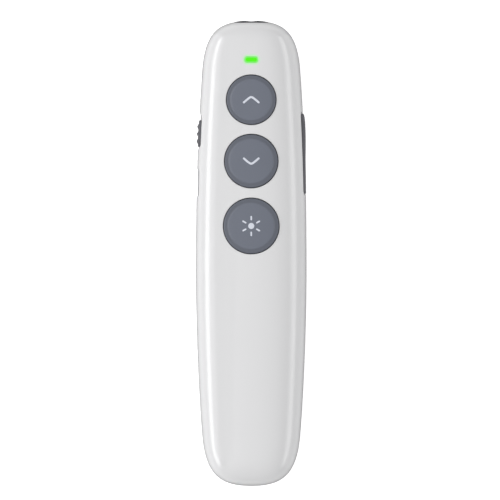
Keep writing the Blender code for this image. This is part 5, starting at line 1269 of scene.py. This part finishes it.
class POINTER_OT_nose(Operator):
    """Build the laser's bezel, window, lens and brass barrel"""

    bl_idname = "pointer.nose"
    bl_label = "Laser nose"

    def execute(self, context):
        smoke = moulded_plastic("gloss_moulded_smoked_acrylic")
        piece("laser_bezel", [bezel_form(casing_form())], smoke, "casing", "smoked_window", "nose_bezel")
        clear, bevel = clear_acrylic(), 0.1 * MM
        place, (radius, half, _) = body_place("laser_window")
        disc = lathe(place, [
            (0.0, -half), (radius - bevel, -half), (radius, bevel - half), (radius, half - bevel),
            (radius - bevel, half), (0.0, half),
        ], "y", 96)
        piece("laser_window_disc", [disc], clear, "casing", "clear_acrylic", "laser_window")
        place, (radius, half, _) = body_place("laser_lens")
        share = np.linspace(1.0, 0.0, 12)
        dome = zip(radius * share, half - half / 2 * share**2)
        lens = lathe(place, [(0.0, -half), (radius, -half), *dome], "y", 96)
        piece("collimating_lens", [lens], clear, "casing", "clear_acrylic", "laser_lens")
        brass = worked_metal("turned_brass")
        piece("laser_module_barrel", [barrel_form()], brass, "casing", "brass", "laser_barrel")
        return {"FINISHED"}


class POINTER_OT_slider(Operator):
    """Build the ribbed power slider"""

    bl_idname = "pointer.slider"
    bl_label = "Power slider"

    def execute(self, context):
        form, sizes = casing_form(), context.scene.pointer_controls
        y, z = control_places()[0]
        inner = -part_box("power_knob")[1][0]
        face, thick = inner + 1.6 * MM, 0.8 * MM
        pitch, half = 2.05 * MM, 3.75 * MM

        def ribs(a, b):
            """Three ribs: the skin stands proud by depth * cos^3 over a floor that falls at both ends."""
            turn = np.clip((a + 0.1 * MM) / pitch, -1.5, 1.5)
            crest = (0.5 + 0.5 * np.cos(2 * math.pi * turn)) ** 1.5
            floor = (sizes.knob_proud - sizes.rib_depth) * (1 - 0.9 * np.abs(a / half) ** 5)
            return floor + sizes.rib_depth * crest * (1 - np.abs(b / (2.3 * MM)) ** 6)

        rows = rounded_edge(0.22 * MM, ribs, 7) + [(0.0, face - thick / 2, True)]
        pad = shaft(form, "left", (y, z), (half, 2.0 * MM), 0.9 * MM, rows, 64, 0.1 * MM, caps=(26, 0))
        plate = block((-face, thick - face), span(y, half + 2.3 * MM), span(z, 2.8 * MM), 0.2 * MM)
        feet = [
            block((0.1 * MM - face, -inner), span(middle, 0.4 * MM), span(z, 0.7 * MM), 0.12 * MM)
            for middle in span(y, 1.2 * MM)
        ]
        rubber = moulded_plastic("moulded_charcoal_rubber")
        piece("power_slider_knob", [pad, plate, *feet], rubber, "power_slider", "side_key_grey", "power_knob")
        return {"FINISHED"}


class POINTER_OT_rocker(Operator):
    """Build the volume rocker"""

    bl_idname = "pointer.rocker"
    bl_label = "Volume rocker"

    def execute(self, context):
        form, sizes = casing_form(), context.scene.pointer_controls
        y, z = control_places()[1]
        axis = rocker_pivot()[0]
        low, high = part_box("volume_rocker")
        face, back = low[0] + 1.4 * MM, low[0] + 0.4 * MM
        long, tall = 11.2 * MM, 2.2 * MM

        def swell(a, b):
            """Stands prouder to the front: proud + 0.3 mm * smooth step, less 0.15 mm at the rear end."""
            front = np.clip((a + 3 * MM) / (10 * MM), 0.0, 1.0)
            nose = np.clip((a - 8.2 * MM) / (3 * MM), 0.0, 1.0)
            rear = np.clip(-a / long, 0.0, 1.0)
            return sizes.rocker_proud + (0.30 * smooth_step(front) - 0.30 * nose**3 - 0.15 * rear) * MM

        rows = rounded_edge(0.3 * MM, swell, 7) + [(0.0, axis, True)]
        pad = shaft(form, "right", (y, z), (long, tall), 0.9 * MM, rows, 64, 0.35 * MM, caps=(12, 0))
        plate = block((back, face), span(y, long + 0.9 * MM), span(z, tall + 0.4 * MM), 0.2 * MM)
        pin, radius, bevel = high[2] - z, 0.7 * MM, 0.1 * MM
        trunnion = lathe((axis, y, z), [
            (0.0, -pin), (radius - bevel, -pin), (radius, bevel - pin), (radius, pin - bevel),
            (radius - bevel, pin), (0.0, pin),
        ], "z", 48)
        feet = [
            block((low[0], back + 0.5 * MM), span(middle, 0.8 * MM), span(z, 0.8 * MM), 0.15 * MM)
            for middle in span(y, 7.5 * MM)
        ]
        rubber, forms = moulded_plastic("moulded_charcoal_rubber"), [pad, plate, trunnion, *feet]
        piece("volume_rocker_bar", forms, rubber, "rocker", "side_key_grey", "volume_rocker")
        return {"FINISHED"}


class POINTER_OT_socket(Operator):
    """Build the charging socket's shell, surround, tongue and contacts"""

    bl_idname = "pointer.socket"
    bl_label = "Charging socket"

    def execute(self, context):
        form = casing_form()
        place, half = body_place("charge_socket_shell")
        rear, mouth = sorted(-corner[0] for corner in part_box("charge_socket_shell"))
        sheet, bevel = 0.25 * MM, 0.08 * MM
        rows = [(grow, height, True) for grow, height in (
            (-sheet, rear + sheet), (-sheet, mouth - bevel), (-0.8 * sheet, mouth), (-0.2 * sheet, mouth),
            (0.0, mouth - bevel), (0.0, rear + 0.2 * MM), (-bevel, rear + 0.05 * MM), (-0.2 * MM, rear),
        )]
        sleeve = shaft(form, "left", place[1:], half[1:], half[2], rows)
        steel = worked_metal("nickel_plated_stamped_steel")
        piece("charge_socket_sleeve", [sleeve], steel, "casing", "plated_steel", "charge_socket_shell")

        middle, halves, flat = socket_flat(form)
        gap, edge = 0.07 * MM, 0.1 * MM
        rows = [
            (edge * (math.cos(t) - 1) - gap, lifted(flat, edge * (math.sin(t) - 1)), True)
            for t in np.radians((90.0, 60.0, 30.0, 0.0))
        ]
        rows.append((-gap, lifted(flat, -0.24 * MM), True))
        plate = shaft(form, "left", middle, halves, FLAT_CORNER, rows, caps=(8, 8))
        surround = mesh_object("charge_socket_surround", [plate])
        rows = [
            (0.0, rear, True), (0.0, lifted(flat, -edge), True), (edge, flat, True),
            (0.3 * MM, lifted(flat, 0.3 * MM), True),
        ]
        carve(surround, [shaft(form, "left", (middle[0], place[2]), PORT_HOLE, PORT_HOLE[1], rows)])
        dress(surround, moulded_plastic("satin_moulded_grey_abs"), "casing", "side_key_grey")

        low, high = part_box("charge_socket_tongue")
        black, gold = moulded_plastic("moulded_black_nylon"), worked_metal("gold_flashed_contacts")
        blade = block(*zip(low, high), 0.15 * MM)
        piece("charge_socket_blade", [blade], black, "casing", "black_plastic", "charge_socket_tongue")
        strips = [
            block(
                (low[0] + 0.5 * MM, high[0] - 1.0 * MM), span(place[1] + (k - 5.5) * 0.38 * MM, 0.12 * MM),
                span(z, 0.02 * MM), 0.02 * MM, 1,
            ) for k in range(12) for z in (low[2], high[2])
        ]
        piece("charge_socket_contacts", strips, gold, "casing", "brass")
        return {"FINISHED"}


class POINTER_OT_receiver(Operator):
    """Build the receiver that is stowed in the underside"""

    bl_idname = "pointer.receiver"
    bl_label = "Receiver"

    def execute(self, context):
        form = casing_form()
        low, high = box_corners("receiver_grip")
        middle, half = body_place("receiver_grip")
        edge, bevel = 0.8 * MM, 0.3 * MM
        rows = [
            (edge * (math.sin(t) - 1), low[1] + edge * (1 - math.cos(t)), True)
            for t in np.linspace(0.0, math.pi / 2, 7)
        ]
        rows += [(0.0, high[1] - bevel, True), (-0.3 * bevel, high[1] - 0.3 * bevel, True),
                 (-bevel, high[1], True)]
        handle = shaft(form, "nose", middle[::2], half[::2], 1.1 * MM, rows, caps=(8, 0))
        grip = mesh_object("receiver_handle", [handle])
        carve(grip, [
            block(
                span(0.0, 4.6 * MM), span(middle[1] + k * 1.5 * MM, 0.25 * MM),
                (low[2] - 0.5 * MM, low[2] + 0.25 * MM), 0.12 * MM,
            ) for k in (-1, 0, 1)
        ])
        black, cream = moulded_plastic("moulded_black_nylon"), moulded_plastic("moulded_cream_nylon")
        dress(grip, black, "receiver", "black_plastic", "receiver_grip")

        low, high = box_corners("receiver_plug_shell")
        middle, half = body_place("receiver_plug_shell")
        sheet, bevel = 0.3 * MM, 0.1 * MM
        rows = [(grow, height, True) for grow, height in (
            (-sheet, low[1] + sheet), (-sheet, high[1] - bevel), (-0.8 * sheet, high[1]),
            (-0.3 * sheet, high[1]), (0.0, high[1] - 1.5 * bevel), (0.0, low[1] + bevel), (-bevel, low[1]),
        )]
        sleeve = shaft(form, "nose", middle[::2], half[::2], 0.6 * MM, rows, 48)
        shell = mesh_object("receiver_plug_sleeve", [sleeve])
        carve(shell, [
            block(
                span(x, 1.25 * MM), (high[1] - 7.4 * MM, high[1] - 5.2 * MM), span(z, 0.6 * MM), 0.2 * MM
            ) for x in span(0.0, 2.5 * MM) for z in (low[2], high[2])
        ])
        steel, gold = worked_metal("nickel_plated_stamped_steel"), worked_metal("gold_flashed_contacts")
        dress(shell, steel, "receiver", "plated_steel", "receiver_plug_shell")

        low, high = box_corners("receiver_tongue")
        tongue = block(*zip(low, high), 0.2 * MM)
        piece("receiver_plug_tongue", [tongue], cream, "receiver", "cream_nylon", "receiver_tongue")
        strips = [
            block(
                span(x * MM, 0.5 * MM), (high[1] - 7.4 * MM, high[1] - back * MM),
                (high[2] - 0.05 * MM, high[2] + 0.02 * MM), 0.03 * MM, 1,
            ) for x, back in ((-3.5, 0.6), (-1.0, 1.6), (1.0, 1.6), (3.5, 0.6))
        ]
        piece("receiver_contacts", strips, gold, "receiver", "brass")
        return {"FINISHED"}


def screw_form(node, reach):
    """A self-tapping screw: domed head below, and a shank whose skin swells along a helix.

    The shank's radius is core + depth * (1 - |2 f - 1| * 2), never under core, with f the fractional
    part of height / pitch - angle / turn."""
    x, y, _ = body_place(node)[0]
    (_, _, low), (right, _, high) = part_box(node)
    head, thick, bevel = right - x, 0.9 * MM, 0.08 * MM
    count, core, pitch = 48, 0.78 * reach, 0.55 * reach
    dome = [
        (head * (0.25 + 0.75 * math.sin(t)), low + 0.6 * thick * (1 - math.cos(t)))
        for t in np.linspace(0.0, math.pi / 2, 8)
    ]
    neck = [(head, low + thick - bevel), (head - bevel, low + thick), (core, low + thick)]
    point = [(core, high - 0.7 * reach), (0.5 * reach, high - 0.15 * reach), (0.3 * reach, high)]
    angle = np.linspace(0.0, 2 * math.pi, count, endpoint=False)
    levels = np.arange(low + thick + 0.05 * MM, high - 0.8 * reach, 0.05 * MM)
    part = (levels[:, None] / pitch - angle / (2 * math.pi)) % 1.0
    swell = np.maximum(1 - 2 * np.abs(2 * part - 1), 0.0)
    ease = np.minimum(np.linspace(0.0, 1.0, len(levels)) * 12, 1.0)[:, None]
    shank = core + (reach - core) * swell * ease * ease[::-1]

    def rings(radius, height):
        """Circles round the screw's axis, of one radius each, or of one for each of their points."""
        height = np.broadcast_to(height, (len(radius), count))
        return np.stack((x + radius * np.cos(angle), y + radius * np.sin(angle), height), axis=-1)

    head_end, tip_end = (rings(*np.hsplit(np.array(pairs), 2)) for pairs in (dome + neck, point))
    return ring_solid(np.concatenate((head_end, rings(shank, levels[:, None]), tip_end)))


class POINTER_OT_screws(Operator):
    """Build the two casing screws and the four board screws"""

    bl_idname = "pointer.screws"
    bl_label = "Screws"

    def execute(self, context):
        zinc = worked_metal("zinc_plated_steel")
        for node in CASE_SCREWS + BOARD_SCREWS:
            reach = (1.0 if node in CASE_SCREWS else 0.8) * MM
            made = mesh_object(f"{node}_threaded", [screw_form(node, reach)])
            x, y, _ = body_place(node)[0]
            low, arm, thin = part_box(node)[0][2], 0.95 * reach, 0.22 * reach
            deep = (low - 0.5 * MM, low + 0.55 * MM)
            for wide, tall in ((arm, thin), (thin, arm)):
                carve(made, [block(span(x, wide), span(y, tall), deep, 0.05 * MM, 2)])
            dress(made, zinc, "casing", "plated_steel", node)
        return {"FINISHED"}


class POINTER_OT_inside(Operator):
    """Give the board, battery, switches and other inner parts their finishes"""

    bl_idname = "pointer.inside"
    bl_label = "Inner parts"

    def execute(self, context):
        black, cream, ceramic, red, dark = (moulded_plastic(name) for name in (
            "moulded_black_nylon", "moulded_cream_nylon", "fired_pale_ceramic", "extruded_red_silicone",
            "extruded_black_silicone",
        ))
        steel, foil = worked_metal("nickel_plated_stamped_steel"), worked_metal("pressed_aluminium_laminate")
        switches = [
            f"{key}_{part}" for key in (*KEYS, "volume_up", "volume_down") for part in ("switch", "plunger")
        ]
        finishes = {
            solder_mask(): ("main_board", "battery_protection_board"),
            black: ("radio_chip", "charge_chip", "power_switch_lever", *switches),
            steel: ("crystal", "power_switch_case", "receiver_magnet", "laser_diode"),
            cream: ("status_led", "battery_header", "battery_plug"),
            ceramic: ("chip_antenna",),
            foil: ("battery_cell",),
            foam_tape(): ("battery_tape",),
            red: ("battery_wire_red",),
            dark: ("battery_wire_black",),
        }
        for made, nodes in finishes.items():
            for node in nodes:
                for place in frame["nodes"][node].material_slots:
                    place.material = made
        return {"FINISHED"}


def floor_paint(colour):
    """Matt paint, brushed out flat: plain and pale. It glows for the camera, and less in gloss and glass.

    Close to the object the floor lies in its contact shadow, so in gloss it fades there with the
    distance from a line along the casing's middle."""
    made, tree, place = new_material("matt_painted_floor")
    ray = add_node(tree, "LightPath").outputs
    seen = ray["Is Camera Ray"]
    for name in ("Is Glossy Ray", "Is Transmission Ray"):
        seen = add_node(tree, "Math", {0: seen, 1: ray[name]}, operation="MAXIMUM")
    glow = add_node(tree, "Math", {0: seen, 1: FLOOR_GLOW_GLOSS}, operation="MULTIPLY")
    glow = add_node(
        tree, "Math", {0: ray["Is Camera Ray"], 1: FLOOR_GLOW_CAMERA, 2: glow}, operation="MULTIPLY_ADD"
    )
    way = way_from_line(tree, place, ORIGIN, (0.0, 50 * MM, 0.0))
    near = add_node(
        tree, "MapRange", {"Value": way, "From Min": 21 * MM, "From Max": 42 * MM},
        interpolation_type="SMOOTHSTEP",
    )
    near = add_node(tree, "Mix", {"Factor": ray["Is Glossy Ray"], "A": 1.0, "B": near}, data_type="FLOAT")
    glow = add_node(tree, "Math", {0: glow, 1: near}, operation="MULTIPLY")
    paint = add_node(tree, "Mix", {"Factor": near, "A": ORIGIN, "B": colour}, data_type="RGBA")
    matt = add_node(tree, "BsdfDiffuse", {"Color": paint})
    light = add_node(tree, "Emission", {"Color": WHITE, "Strength": glow})
    add_node(tree, "OutputMaterial", {"Surface": add_node(tree, "AddShader", {0: matt, 1: light})})
    return made


def even_light(strength):
    """A world whose light is even from all round; the camera sees plain white."""
    world = bpy.data.worlds.new("even studio light")
    world.use_nodes = True
    tree = world.node_tree
    tree.nodes.clear()
    ray = add_node(tree, "LightPath").outputs["Is Camera Ray"]
    glow = add_node(tree, "Mix", {"Factor": ray, "A": strength, "B": 1.0}, data_type="FLOAT")
    sky = add_node(tree, "Background", {"Color": WHITE, "Strength": glow})
    add_node(tree, "OutputWorld", {"Surface": sky})
    return world


class POINTER_OT_stage(Operator):
    """Build the floor, the lights and the camera"""

    bl_idname = "pointer.stage"
    bl_label = "Floor, lights and camera"

    def execute(self, context):
        scene = context.scene
        studio = scene.pointer_studio
        scene.view_settings.view_transform = "Standard"

        data = bpy.data.meshes.new("floor")
        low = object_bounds()[0][2]
        corner = [(x * FLOOR_REACH, y * FLOOR_REACH, low) for x, y in ((-1, -1), (1, -1), (1, 1), (-1, 1))]
        data.from_pydata(corner, [], [(0, 1, 2, 3)])
        data.materials.append(floor_paint(studio.floor))
        floor = bpy.data.objects.new("floor", data)
        scene.collection.objects.link(floor)
        floor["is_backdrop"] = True
        scene.world = even_light(studio.ambient)

        for name, (size, place, lights, shines) in LAMPS.items():
            lamp = bpy.data.lights.new(name, "AREA")
            lamp.shape = "RECTANGLE"
            lamp.size, lamp.size_y = size
            lamp.energy = getattr(studio, name)
            obj = bpy.data.objects.new(name, lamp)
            obj.location = place
            obj.rotation_euler = (0.0, math.atan2(place[0], place[2]), 0.0)
            obj.visible_camera, obj.visible_diffuse, obj.visible_glossy = False, lights, shines
            scene.collection.objects.link(obj)

        lens = bpy.data.cameras.new("camera")
        lens.lens, lens.sensor_width, lens.clip_end = LENS_MM, 36.0, 20.0
        camera = bpy.data.objects.new("camera", lens)
        camera.location = CAMERA
        scene.collection.objects.link(camera)
        scene.camera = camera
        return {"FINISHED"}


OPERATORS = (
    POINTER_OT_casings, POINTER_OT_keys, POINTER_OT_light, POINTER_OT_nose, POINTER_OT_slider,
    POINTER_OT_rocker, POINTER_OT_socket, POINTER_OT_receiver, POINTER_OT_screws, POINTER_OT_inside,
    POINTER_OT_stage,
)


class POINTER_PT_pieces(Panel):
    """Sizes, finishes and pieces of the pointer"""

    bl_label = "Laser pointer"
    bl_idname = "POINTER_PT_pieces"
    bl_space_type = "VIEW_3D"
    bl_region_type = "UI"
    bl_category = "Pointer"

    def draw(self, context):
        layout = self.layout
        for group in SETTINGS:
            box = layout.box()
            settings = getattr(context.scene, group)
            for name in settings.bl_rna.properties.keys():
                if name not in ("rna_type", "name"):
                    box.prop(settings, name)
        for operator in OPERATORS:
            layout.operator(operator.bl_idname)


SETTINGS = {
    "pointer_casing": CasingSizes,
    "pointer_controls": ControlSizes,
    "pointer_finishes": Finishes,
    "pointer_studio": StudioSettings,
}


def register():
    for made in (*SETTINGS.values(), *OPERATORS, POINTER_PT_pieces):
        bpy.utils.register_class(made)
    for name, group in SETTINGS.items():
        setattr(bpy.types.Scene, name, PointerProperty(type=group))


def unregister():
    for name in SETTINGS:
        delattr(bpy.types.Scene, name)
    for made in (POINTER_PT_pieces, *reversed(OPERATORS), *SETTINGS.values()):
        bpy.utils.unregister_class(made)


def main():
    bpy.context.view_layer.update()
    register()
    for made in OPERATORS:
        getattr(bpy.ops.pointer, made.bl_idname.split(".")[1])()


if __name__ == "__main__":
    main()
